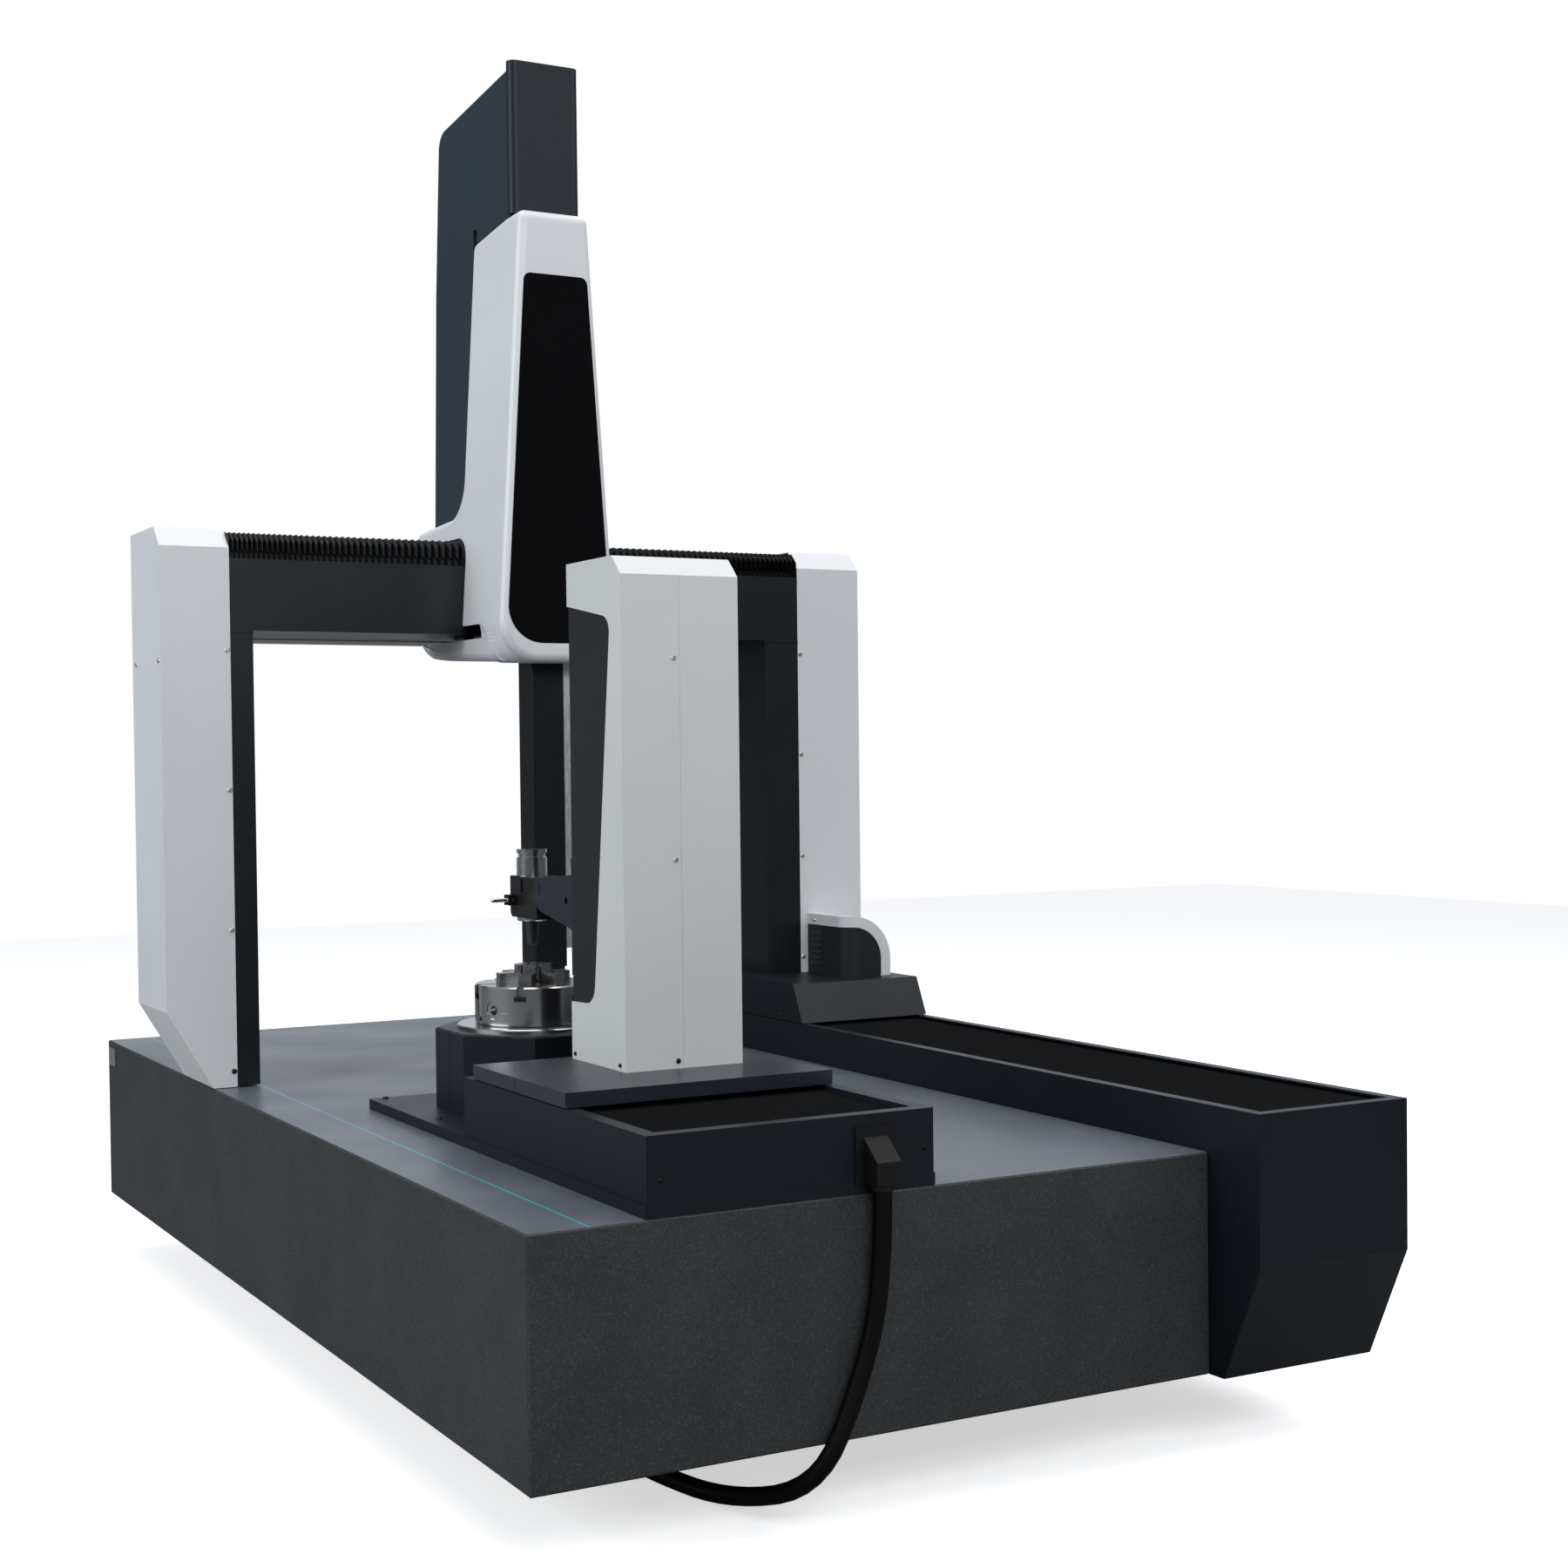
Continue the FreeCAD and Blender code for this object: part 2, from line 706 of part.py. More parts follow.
def carriage_pan(inset):
    """The narrower pan of the cover that reaches back under the beam, rounded like a tray."""
    half = carriage_pan_half - inset
    zb = z_top + carriage_bottom + inset
    y0 = y_bridge - carriage_notch - 2 - 2 * inset
    y1 = y_bridge + carriage_pan_back - inset
    outline = [(y0, zb, 0), (y0, z_beam + 15, 0), (y1, z_beam + 15, 0), (y1, zb, 60 - inset)]
    pan = prism_yz(outline, x_carriage - half, x_carriage + half)
    low = edges_along(pan, V(0, 1, 0), lambda point: point.z < zb + 1)
    return pan.makeFillet(carriage_pan_edge - inset, low)


def carriage_body(inset):
    """The closed form of the carriage cover, or its inner side when it is inset by the wall."""
    y0 = y_carriage + inset
    z0 = z_top + carriage_bottom + inset
    z1 = z_top + carriage_top + 20
    reach = carriage_half_low + 10
    hip = prism_yz(carriage_profile(), x_carriage - reach, x_carriage + reach, inset)
    hip = hip.common(prism_xz(carriage_outline(z0, z1, inset), y_carriage - 20, y_carriage + 720))
    front_edges = [e for e in hip.Edges if e.BoundBox.ZLength > 600 and abs(e.BoundBox.YMin - y0) < 1]
    hip = hip.makeFillet(carriage_edge - inset, front_edges)
    return hip.fuse(carriage_pan(inset))


def carriage_cover():
    """A moulded shell that tapers upwards, rounded all round, and opens for beam, ram and tower."""
    shell = carriage_body(0).cut(carriage_body(carriage_wall))
    shell = shell.cut(prism_yz(beam_opening(), x_carriage - carriage_half_low - 10, x_carriage + carriage_half_low + 10))
    ram = ram_box(5)
    shell = shell.cut(block(*ram, z_top + carriage_bottom - 9, z_top + carriage_bottom + 40))
    tower = tower_half + 1
    shell = shell.cut(block(x_carriage - tower, x_carriage + tower, y_carriage + tower_front_back + 24,
                            y_carriage + 309, z_top + carriage_top - 50, z_top + carriage_top + 9))
    recess = panel_shape(y_carriage - 1, y_carriage + panel_thickness - 0.5, 0)
    return shell.cut(recess)


def panel_shape(y0, y1, shrink):
    """The glossy front panel: a tall trapezium with small upper and large lower corners."""
    zb = z_top + panel_bottom + shrink
    zt = z_top + panel_top - shrink
    low = carriage_half(zb) - panel_margin - shrink
    high = carriage_half(zt) - panel_margin - shrink
    xc = x_carriage
    return prism_xz([(xc - low, zb, 92), (xc - high, zt, 20), (xc + high, zt, 20), (xc + low, zb, 92)], y0, y1)


def carriage_front_panel():
    y0 = y_carriage - 0.5
    return panel_shape(y0, y0 + panel_thickness, 0.3)


def ram_box(gap):
    """X and Y limits of the ram with its drive strip, widened by a gap."""
    half = ram_size / 2
    y0 = y_carriage + ram_front_back
    return (x_carriage - half - gap, x_carriage + half + strip_width + gap, y0 - gap, y0 + ram_size + gap)


def carriage_frame():
    """The frame that clasps the beam on four sides and carries the two guide rings of the ram."""
    half = 95.0
    xc = x_carriage
    pad = 7.0
    x0, x1 = xc - half, xc + half
    yf = y_bridge - pad
    yr = y_beam_back + pad + 5
    zt = z_beam_top + pad + 9
    zb = z_beam - pad - 2
    low = zb - 38
    high = z_beam_top + bellows_height + 3
    front = block(x0, x1, yf - 32, yf, low, high)
    top = block(x0, x1, yf, yr, zt, high)
    rear = block(x0, x1, yr, yr + 30, z_beam + 15, high)
    under = block(x0, x1, yf, y_beam_back - 10, low, zb)
    gx0, gx1, gy0, gy1 = ram_box(6)
    spine = block(xc - 70, xc + 70, gy1, gy1 + 26, low + 20, z_top + 1900)
    link = block(xc - 70, xc + 70, gy1 + 26, yf - 32, low + 20, high)
    pieces = [front, top, rear, under, spine, link]
    for z in (low + 20, z_top + 1820):
        ring = block(gx0 - 19, gx1 + 19, gy0 - 19, gy1, z, z + 80)
        pieces.append(ring.cut(block(gx0, gx1, gy0, gy1, z - 1, z + 81)))
    boss = block(xc - 22, xc + 22, y_carriage + carriage_wall, gy0 - 19, low + 40, low + 80)
    pieces.append(boss)
    pieces.append(z_roller_bracket(gy1))
    return joined(pieces)


def z_roller_place():
    x = x_carriage + ram_size / 2 + strip_width + air_gap + roller_radius
    y = y_carriage + ram_front_back + 6
    return x, y, z_top + 1500


def z_roller_bracket(spine_front):
    x, y, z = z_roller_place()
    clear = x_carriage + ram_size / 2 + 8
    return block(clear, x + 24, y + 43, spine_front + 26, z - 24, z + 24)


def z_drive_roller():
    """The friction roller that lifts the ram by its strip."""
    x, y, z = z_roller_place()
    wheel = rod(roller_radius, (x, y, z), (x, y + 32, z))
    shaft = rod(7, (x, y + 32, z), (x, y + 43 - air_gap, z))
    return joined([wheel, shaft])


def carriage_air_bearings():
    """Pads between the frame and the beam, and round the ram in its two rings."""
    xc = x_carriage
    pad = 7.0
    pads = []
    for x in (xc - 55, xc + 55):
        a, b = x - 34, x + 34
        for z in (z_beam + 45, z_beam_top - 45):
            pads.append(block(a, b, y_bridge - pad, y_bridge - air_gap, z - 34, z + 34))
        pads.append(block(a, b, y_beam_back + air_gap, y_beam_back + pad + 5, z_beam_top - 90, z_beam_top - 14))
        for y in (y_bridge + 62, y_beam_back - 62):
            pads.append(block(a, b, y - 36, y + 36, z_beam_top + air_gap, z_beam_top + pad + 9))
            pads.append(block(a, b, y - 36, y + 36, z_beam - pad - 2, z_beam - air_gap))
    gx0, gx1, gy0, gy1 = ram_box(6)
    rx0, rx1, ry0, ry1 = ram_box(air_gap)
    zlow = z_beam - pad - 2 - 38 + 20
    for z in (zlow + 10, z_top + 1830):
        pads.append(block(gx0, rx0, ry0 + 12, ry1 - 12, z, z + 60))
        pads.append(block(rx0 + 12, rx1 - 32, gy0, ry0, z, z + 60))
        pads.append(block(rx0 + 12, rx1 - 32, ry1, gy1, z, z + 60))
    return Part.makeCompound(pads)


def tower_profile():
    y0 = y_carriage + tower_front_back + tower_front_depth
    zt = z_top + tower_top - tower_step
    back = y_bridge + 373
    joint = y_carriage + 309
    behind = y_carriage + 331
    mouth = z_top + carriage_top - 88
    return [(y0, mouth, 0), (y0, zt, 0), (back - 72, zt - 46, 50), (back - 33, z_top + 2100, 0),
            (back, flare_top(back), 0), (behind, flare_top(behind), 97),
            (behind, z_top + carriage_top + 12, 0), (joint - 2, z_top + carriage_top + 12, 0),
            (joint - 2, mouth, 0)]


def tower_side_cover():
    """The deep sheet case of the tower: it stands on the saddle and hides the raised ram."""
    profile = tower_profile()
    case = prism_yz(profile, x_carriage - tower_half, x_carriage + tower_half)
    inner = prism_yz(profile, x_carriage - tower_half + sheet, x_carriage + tower_half - sheet, sheet)
    case = case.cut(inner)
    y0 = profile[0][0]
    mouth = profile[0][1]
    half = tower_half - sheet
    front = block(x_carriage - half, x_carriage + half, y0 - 1, y0 + 5, mouth - 1, z_top + tower_top - 30)
    under = block(x_carriage - half, x_carriage + half, y0 - 1, profile[-1][0] - sheet, mouth - 1, mouth + 5)
    return case.cut(front).cut(under)


def tower_front_cover():
    """A channel with rounded corners that closes the front of the tower."""
    y0 = y_carriage + tower_front_back
    y1 = y0 + tower_front_depth
    z0 = z_top + carriage_top
    z1 = z_top + tower_top
    half = tower_front_half
    outer = block(x_carriage - half, x_carriage + half, y0, y1, z0, z1)
    outer = outer.makeFillet(20, edges_along(outer, V(0, 0, 1), lambda p: p.y < y0 + 1))
    inner = block(x_carriage - half + sheet, x_carriage + half - sheet, y0 + sheet, y1 + 1, z0 - 1, z1 - sheet)
    inner = inner.makeFillet(17, edges_along(inner, V(0, 0, 1), lambda p: p.y < y0 + sheet + 1))
    return outer.cut(inner)


# Ram and probe head


def z_ram():
    x0, x1, y0, y1 = ram_box(0)
    bar = block(x0, x1 - strip_width, y0, y1, z_top + ram_bottom, z_top + ram_top)
    return bar.makeChamfer(3, edges_along(bar, V(0, 0, 1), lambda p: True))


def ram_drive_strip():
    x0, x1, y0, y1 = ram_box(0)
    return block(x1 - strip_width, x1, y0 + 5, y0 + 5 + strip_depth, z_top + strip_bottom, z_top + ram_top - 10)


def head_axis():
    x0, x1, y0, y1 = ram_box(0)
    return (x0 + x1 - strip_width) / 2, (y0 + y1) / 2


def probe_head_base():
    """A square flange under the ram and the round case of the motorised head."""
    x, y = head_axis()
    z = z_top + ram_bottom
    flange = block(x - 40, x + 40, y - 40, y + 40, z - 10, z)
    case = Part.makeCylinder(head_radius, head_length, V(x, y, z - 10 - head_length))
    case = case.makeChamfer(3, [e for e in case.Edges if e.BoundBox.ZLength < 0.1 and e.BoundBox.ZMin < z - 20])
    return joined([flange, case])


def tilt_centre():
    x, y = head_axis()
    return x, y, z_top + ram_bottom - 10 - head_length - 30


def probe_head_yoke():
    """The turning part of the head: a disc with two cheeks that hold the tilting probe."""
    x, y, z = tilt_centre()
    top = z + 30 - air_gap
    disc = Part.makeCylinder(head_radius, 10, V(x, y, top - 10))
    body = Part.makeCylinder(head_radius, top - z + 12, V(x, y, z - 12))
    for side in (-1, 1):
        x_in = x + side * 17
        x_out = x + side * 60
        cheek_box = block(min(x_in, x_out), max(x_in, x_out), y - 60, y + 60, z - 13, top + 1)
        disc = disc.fuse(body.common(cheek_box))
    pin = rod(5, (x - head_radius - 1, y, z), (x + head_radius + 1, y, z))
    return disc.cut(pin).removeSplitter()


def probe_stylus():
    """The probe on its cross pin, with the stylus shaft and its ball."""
    x, y, z = tilt_centre()
    hub = rod(15, (x - 16.6, y, z), (x + 16.6, y, z))
    pin = rod(4.95, (x - head_radius + 3, y, z), (x + head_radius - 3, y, z))
    body = rod(probe_radius, (x, y, z), (x, y, z - 42))
    stem = rod(2, (x, y, z - 42), (x, y, z - 42 - stylus_length))
    ball = Part.makeSphere(ball_radius, V(x, y, z - 42 - stylus_length - ball_radius + 0.5))
    return joined([hub, pin, body, stem, ball])


# Base plate, tail bed and rotary table


def tail_base_plate():
    x0 = x_left + plate_left
    y0 = y_front + plate_front
    plate = block(x0, x0 + plate_width, y0, y0 + plate_length, z_top, z_plate)
    return plate.makeChamfer(2, edges_along(plate, V(0, 0, 1), lambda p: True))


def tail_bed_box():
    """The bed of the counter column: a trough whose sides carry two guide rails."""
    x0 = x_left + plate_left + bed_inset
    x1 = x0 + plate_width - 2 * bed_inset
    y0 = y_front + plate_front + 1
    y1 = y0 + bed_length
    box = block(x0, x1, y0, y1, z_plate, z_bed)
    deep = block(x0 + bed_rim, x1 - bed_rim, y0 + bed_rim, y1 - bed_rim, z_bed - 90, z_bed + 1)
    box = box.cut(deep)
    rails = []
    for x in (x0 + bed_rim + 60, x1 - bed_rim - 60):
        rails.append(block(x - 17, x + 17, y0 + bed_rim, y1 - bed_rim, z_bed - 90, z_bed - 56))
    return joined([box] + rails)


def tail_bellows():
    x0 = x_left + plate_left + bed_inset + bed_rim + 1
    x1 = x_left + plate_left + plate_width - bed_inset - bed_rim - 1
    y0 = y_front + plate_front + 1 + bed_rim + 0.5
    y1 = y_front + slide_front + 24
    return pleated_run_y(x0, x1, y0, y1, z_bed - 50, z_bed - 10, 16)


def rotary_table_housing():
    """An eight-sided case: a square with its corners cut off, and a low foot at its seams."""
    h = table_half
    b = table_bevel
    ring = [(-h, -h + b), (-h + b, -h), (h - b, -h), (h, -h + b), (h, h - b), (h - b, h), (-h + b, h), (-h, h - b)]
    corners = [(x_table + x, y_table + y, 0) for x, y in ring]
    case = prism_xy(corners, z_plate, z_table)
    case = case.makeChamfer(4, [e for e in case.Edges if e.BoundBox.ZMin > z_table - 0.1])
    groove = block(x_table - h - 1, x_table - h + 1.5, y_table - 1, y_table + 1, z_plate, z_table)
    bore = Part.makeCylinder(60, 40, V(x_table, y_table, z_table - 40))
    return case.cut(groove).cut(bore)


def base_screws():
    x0 = x_left + plate_left
    x1 = x0 + plate_width
    y0 = y_front + plate_front
    y_rear = y0 + plate_length
    tops = [(x, y) for x in (x0 + 34, x1 - 34) for y in (y_rear - 18, y_rear - 368)]
    screws = [button((x, y, z_plate), (0, 0, 1), 8, 5) for x, y in tops]
    screws += [button((x, y0 + 1, z_plate + h), (0, -1, 0), 5) for x, h in ((x0 + 32, 43), (x1 - 24, 48))]
    return Part.makeCompound(screws)


def chuck_faceplate():
    z0 = z_table + air_gap
    plate = Part.makeCylinder(faceplate_radius, faceplate_thickness, V(x_table, y_table, z0))
    plate = plate.makeChamfer(2, [e for e in plate.Edges if e.BoundBox.ZMin > z0 + 1])
    hub = Part.makeCylinder(59.9, 39, V(x_table, y_table, z0 - 39))
    return joined([plate, hub])


def around(shape, degrees):
    turned = shape.copy()
    turned.rotate(V(x_table, y_table, 0), V(0, 0, 1), degrees)
    return turned


def slot_tool():
    """One radial T-slot along +X: a narrow mouth over a wider root."""
    c = slot_clearance
    mouth_half = neck_width / 2 + c
    root_half = root_width / 2 + c
    x0 = x_table + jaw_neck_start - slot_end
    x1 = x_table + chuck_radius + 5
    z_mouth = z_chuck - neck_depth
    mouth = block(x0, x1, y_table - mouth_half, y_table + mouth_half, z_mouth - c, z_chuck + 1)
    root = block(x0, x1, y_table - root_half, y_table + root_half, z_mouth - root_height - c, z_mouth + c)
    return mouth.fuse(root)


def chuck_body():
    """Six-jaw scroll chuck: T-slots, a bore, a seam groove, key sockets between jaws and small plugs."""
    base = V(x_table, y_table, z_face)
    body = Part.makeCylinder(chuck_radius, chuck_height, base)
    rims = [e for e in body.Edges if e.BoundBox.ZLength < 0.1]
    body = body.makeChamfer(3, rims)
    tools = [Part.makeCylinder(chuck_bore, chuck_height + 2, base - V(0, 0, 1))]
    seam = Part.makeCylinder(chuck_radius + 1, 1.2, base + V(0, 0, seam_height))
    tools.append(seam.cut(Part.makeCylinder(chuck_radius - 1.2, 1.2, base + V(0, 0, seam_height))))
    for i in range(jaw_count):
        angle = jaw_angle + 360 / jaw_count * i
        tools.append(around(slot_tool(), angle))
    z_key = z_face + key_height
    z_plug = z_face + plug_height
    outside = (x_table + chuck_radius + 2, y_table)
    key = rod(key_radius, (x_table + chuck_radius - key_depth, y_table, z_key), (*outside, z_key))
    rim = rod(key_rim_radius, (x_table + chuck_radius - key_rim_depth, y_table, z_key), (*outside, z_key))
    plug = rod(plug_radius, (x_table + chuck_radius - 9, y_table, z_plug), (*outside, z_plug))
    for i in range(key_count):
        angle = jaw_angle + 180 / jaw_count + 360 / key_count * (i + 0.5)
        tools += [around(key, angle), around(rim, angle), around(plug, angle - 20), around(plug, angle + 83)]
    return body.cut(Part.makeCompound(tools))


def serrations(x, z_low, z_high):
    """Grooves across one outward-facing step of a jaw."""
    half = jaw_width / 2 + 1
    count = int((z_high - z_low) / serration_pitch)
    tools = []
    for i in range(count):
        z = z_high - 2.6 - serration_pitch * i
        tools.append(block(x - serration_depth, x + 1, y_table - half, y_table + half, z - serration_height, z))
    return tools


def chuck_jaw(index):
    """A jaw of two steps with serrated ends and a pointed nose, on its T-shaped root and guide."""
    half = jaw_width / 2
    nose = x_table + jaw_inner
    step = x_table + jaw_step
    end = x_table + jaw_outer
    zc = z_chuck + air_gap
    plan = [(nose, y_table - jaw_tip_half, 0), (nose + jaw_tip_length, y_table - half, 0),
            (end, y_table - half, 0), (end, y_table + half, 0), (nose + jaw_tip_length, y_table + half, 0),
            (nose, y_table + jaw_tip_half, 0)]
    top = prism_xy(plan, zc, zc + jaw_height)
    top = top.cut(block(step, end + 1, y_table - half - 1, y_table + half + 1, zc + jaw_low_height, zc + jaw_height + 1))
    grooves = serrations(step, zc + jaw_low_height, zc + jaw_height) + serrations(end, zc + 6, zc + jaw_low_height)
    top = top.cut(Part.makeCompound(grooves))
    start = x_table + jaw_neck_start
    z_mouth = z_chuck - neck_depth
    neck = block(start, end, y_table - neck_width / 2, y_table + neck_width / 2, z_mouth - 1, zc + 1)
    guide = block(end - 1, x_table + jaw_neck_end, y_table - neck_width / 2, y_table + neck_width / 2,
                  z_mouth, z_chuck - 1)
    root = block(start, end, y_table - root_width / 2, y_table + root_width / 2, z_mouth - root_height, z_mouth)
    return around(joined([top, neck, guide, root]), jaw_angle + 360 / jaw_count * index)


# Counter column on its slide


def tail_slide_plate():
    """The slide with four runner blocks that hang on the rails of the bed."""
    x0 = x_left + slide_left
    y0 = y_front + slide_front
    plate = block(x0, x0 + slide_width, y0, y0 + slide_length, z_slide, z_column)
    bed_x0 = x_left + plate_left + bed_inset
    bed_x1 = bed_x0 + plate_width - 2 * bed_inset
    runners = []
    for x in (bed_x0 + bed_rim + 60, bed_x1 - bed_rim - 60):
        for y in (y0 + 60, y0 + slide_length - 150):
            runner = block(x - 32, x + 32, y, y + 90, z_bed - 76, z_slide)
            runner = runner.cut(block(x - 17.3, x + 17.3, y - 1, y + 91, z_bed - 91, z_bed - 56 + air_gap))
            runners.append(runner)
    seam = block(x0 - 1, x0 + 1.5, y0 + 246, y0 + 248, z_slide - 1, z_column + 1)
    return joined([plate] + runners).cut(seam)


def column_cutout():
    """The scalloped opening in the side of the column cover, as (y, z, radius) corners."""
    y1 = y_front + column_front + column_depth + 3
    y0 = y_front + column_front
    z0 = z_top
    return [(y1, z0 + 1134, 0), (y0 + 51, z0 + 1098, 36), (y0 + 148, z0 + 303, 44), (y1, z0 + 299, 0)]


def tail_column_cover():
    x0 = x_left + column_left
    x1 = x0 + column_width
    y0 = y_front + column_front
    y1 = y0 + column_depth
    z1 = z_column + column_height
    b = column_bevel
    profile = [(y0, z_column, 0), (y0, z1 - b, 0), (y0 + b, z1, 0), (y1, z1, 0), (y1, z_column, 0)]
    inside = [(y0 + sheet, z_column - 1, 0), (y0 + sheet, z1 - b - 1, 0), (y0 + b + 1, z1 - sheet, 0),
              (y1 + 1, z1 - sheet, 0), (y1 + 1, z_column - 1, 0)]
    shell = prism_yz(profile, x0, x1).cut(prism_yz(inside, x0 + sheet, x1 - sheet))
    shell = shell.cut(prism_yz(column_cutout(), x0 - 1, x1 + 1))
    seam = block(x0 + 130.5, x0 + 132, y0 - 1, y0 + 0.8, z_column, z1 - b)
    return shell.cut(seam)


def tail_column_frame():
    """The dark box post inside the cover, with two rails on its back for the arm."""
    gap = sheet + air_gap
    x0 = x_left + column_left + gap
    x1 = x_left + column_left + column_width - gap
    y0 = y_front + column_front + gap + 4
    y1 = y_front + column_front + column_depth - 2
    z1 = z_column + column_height - column_bevel - 12
    post = block(x0, x1, y0, y1, z_column, z1)
    post = post.cut(block(x0 + 12, x1 - 12, y0 + 12, y1 - 12, z_column + 12, z1 - 12))
    rails = []
    for x in column_rail_places():
        rails.append(block(x - rail_width / 2, x + rail_width / 2, y1, y1 + rail_height, z_column + 60, z1 - 10))
    return joined([post] + rails)


def column_rail_places():
    middle = x_left + column_left + column_width / 2
    return middle - 82, middle + 82


def tail_arm():
    """The arm that carries the centre: a runner plate, a tapering bracket and the clamp block."""
    middle = x_left + column_left + column_width / 2
    xa = x_table
    y_post = y_front + column_front + column_depth - 2
    y_plate = y_post + rail_height + air_gap
    z = z_axis_arm
    low = z - 150
    plate = block(middle - 112, middle + 112, y_plate, y_plate + arm_plate, low, low + arm_plate_height)
    pieces = [plate]
    for x in column_rail_places():
        for z_run in (low + 10, low + arm_plate_height - 80):
            runner = block(x - 28, x + 28, y_post + 4, y_plate, z_run, z_run + 70)
            rail = rail_width / 2 + air_gap
            pieces.append(runner.cut(block(x - rail, x + rail, y_post, y_plate, z_run - 1, z_run + 71)))
    y0 = y_plate + arm_plate
    half_block = arm_block_height / 2
    top = z + half_block
    y_head = y_table - arm_head_run
    bracket = [(y0, z - 72, 0), (y0, top + 18, 0), (y_head, top, 0), (y_head, z - 14, 14),
               (y_head - 30, z - 27, 20), (y0 + 56, z - 55, 40)]
    pieces.append(prism_yz(bracket, xa - arm_bracket_half, xa + arm_bracket_half))
    head = block(xa - arm_half, xa + arm_half, y_head - 2, y_table + arm_half, z - half_block, top)
    head = head.makeChamfer(9, edges_along(head, V(1, 0, 0), lambda p: p.y > y_table and p.z < z))
    window = block(xa - arm_half - 1, xa - arm_half + 3, y_table - 80, y_table - 23, z + 10, z + 40)
    pieces.append(head.cut(window))
    arm = joined(pieces)
    arm = arm.cut(Part.makeCylinder(quill_radius + shaft_gap, 400, V(xa, y_table, z - 200)))
    slit = block(xa - 1.5, xa + 1.5, y_table + 10, y_table + arm_half + 1, z - half_block - 1, z + half_block + 1)
    mark = block(xa - arm_bracket_half - 1, xa - arm_bracket_half + 3, y_head - 26, y_head - 22, z + 10, z + 36)
    hole = rod(8, (xa - arm_bracket_half - 1, y0 + 75, z + 4), (xa - arm_bracket_half + 6, y0 + 75, z + 4))
    arm = arm.cut(Part.makeCompound([slit, mark, hole]))
    x_pin, y_pin, z_pin = lever_pin()
    lugs = []
    for y in (y_pin - lug_gap - lug_thickness, y_pin + lug_gap):
        lug = block(x_pin - 9, xa - arm_half, y, y + lug_thickness, z_pin - 12, z_pin + 12)
        bore = rod(lever_pin_radius + shaft_gap, (x_pin, y - 1, z_pin), (x_pin, y + lug_thickness + 1, z_pin))
        lugs.append(lug.cut(bore))
    return joined([arm] + lugs)


def lever_pin():
    return x_table - arm_half - lever_offset, y_table + 14.5, z_axis_arm - 8


def tail_sleeve():
    """The bright sleeve on top of the block and the ring under it, both round the centre quill."""
    z0 = z_axis_arm + arm_block_height / 2
    r = sleeve_radius
    h = sleeve_height
    bore = quill_radius + shaft_gap
    profile = [(bore, 0), (r, 0), (r, h - 20), (r - 4, h - 17), (r - 4, h - 10), (r, h - 8), (r, h), (bore, h)]
    sleeve = revolved(profile, (x_table, y_table, z0))
    z1 = z_axis_arm - arm_block_height / 2 - ring_height
    ring = revolved([(bore, 0), (r - 2, 0), (r, 2), (r, ring_height), (bore, ring_height)], (x_table, y_table, z1))
    return Part.makeCompound([sleeve, ring])


def tail_quill():
    """The centre quill with its tapered end, which slides in the block and the sleeve."""
    z0 = z_axis_arm - arm_block_height / 2 - ring_height - quill_drop
    z1 = z_axis_arm + arm_block_height / 2 + sleeve_height - 18
    profile = [(0, 0), (quill_tip_radius, 0), (quill_end_radius, quill_chamfer), (quill_radius, quill_drop - 6),
               (quill_radius, z1 - z0), (0, z1 - z0)]
    return revolved(profile, (x_table, y_table, z0))


def tail_clamp_lever():
    """The bright hand lever that lifts the centre, on its cross pin between two lugs."""
    x, y, z = lever_pin()
    boss = rod(9, (x, y - lug_gap + air_gap, z), (x, y + lug_gap - air_gap, z))
    half_pin = lug_gap + lug_thickness + 2
    pin = rod(lever_pin_radius, (x, y - half_pin, z), (x, y + half_pin, z))
    handle = rod(lever_radius, (x - 6, y, z), (x - lever_length, y, z))
    tip = Part.makeSphere(lever_radius, V(x - lever_length, y, z))
    return joined([boss, pin, handle, tip])


def tail_screws():
    x0 = x_left + column_left
    y0 = y_front + column_front
    screws = [button((x0 + 119, y0, z_top + h), (0, -1, 0), 6) for h in (193, 604, 1015)]
    screws += [button((x0, y, z_column + 12), (-1, 0, 0), 5) for y in (y0 + 25, y0 + 245)]
    return Part.makeCompound(screws)


# Gland hood and conduit


def gland_hood():
    """A small hood on the front of the bed that turns the conduit downwards, with a collar."""
    x = x_left + hood_stand
    y = y_front + plate_front
    z0 = z_top + 20
    half = hood_width / 2
    plate = block(x - hood_plate_width / 2, x + hood_plate_width / 2, y - 4, y, z0 - 4, z0 + hood_plate_height)
    outline = [(y - 4, z0 + 84, 0), (y - hood_depth, z0 + 44, 8), (y - hood_depth, z0, 0), (y - 4, z0, 0)]
    hood = prism_yz(outline, x - half, x + half)
    collar = Part.makeCylinder(collar_radius, collar_length, V(x, y_front - 24, z0 - collar_length))
    return joined([plate, hood, collar])


def conduit_points():
    """The free stretch of the conduit: down the front of the stone, under its edge, to its coil."""
    floor = conduit_radius + 1
    drop = [(0, -24, z_top + 20 - collar_length), (0, -24, z_top - 170), (-56, -24, z_top - 354),
            (-197, -24, floor + 48), (-257, 199, floor), (-291, 420, floor), (-278, 640, floor),
            (-238, coil_back - 100, floor), (-224, coil_back, floor)]
    return [V(x_left + hood_stand + dx, y_front + dy, z) for dx, dy, z in drop]


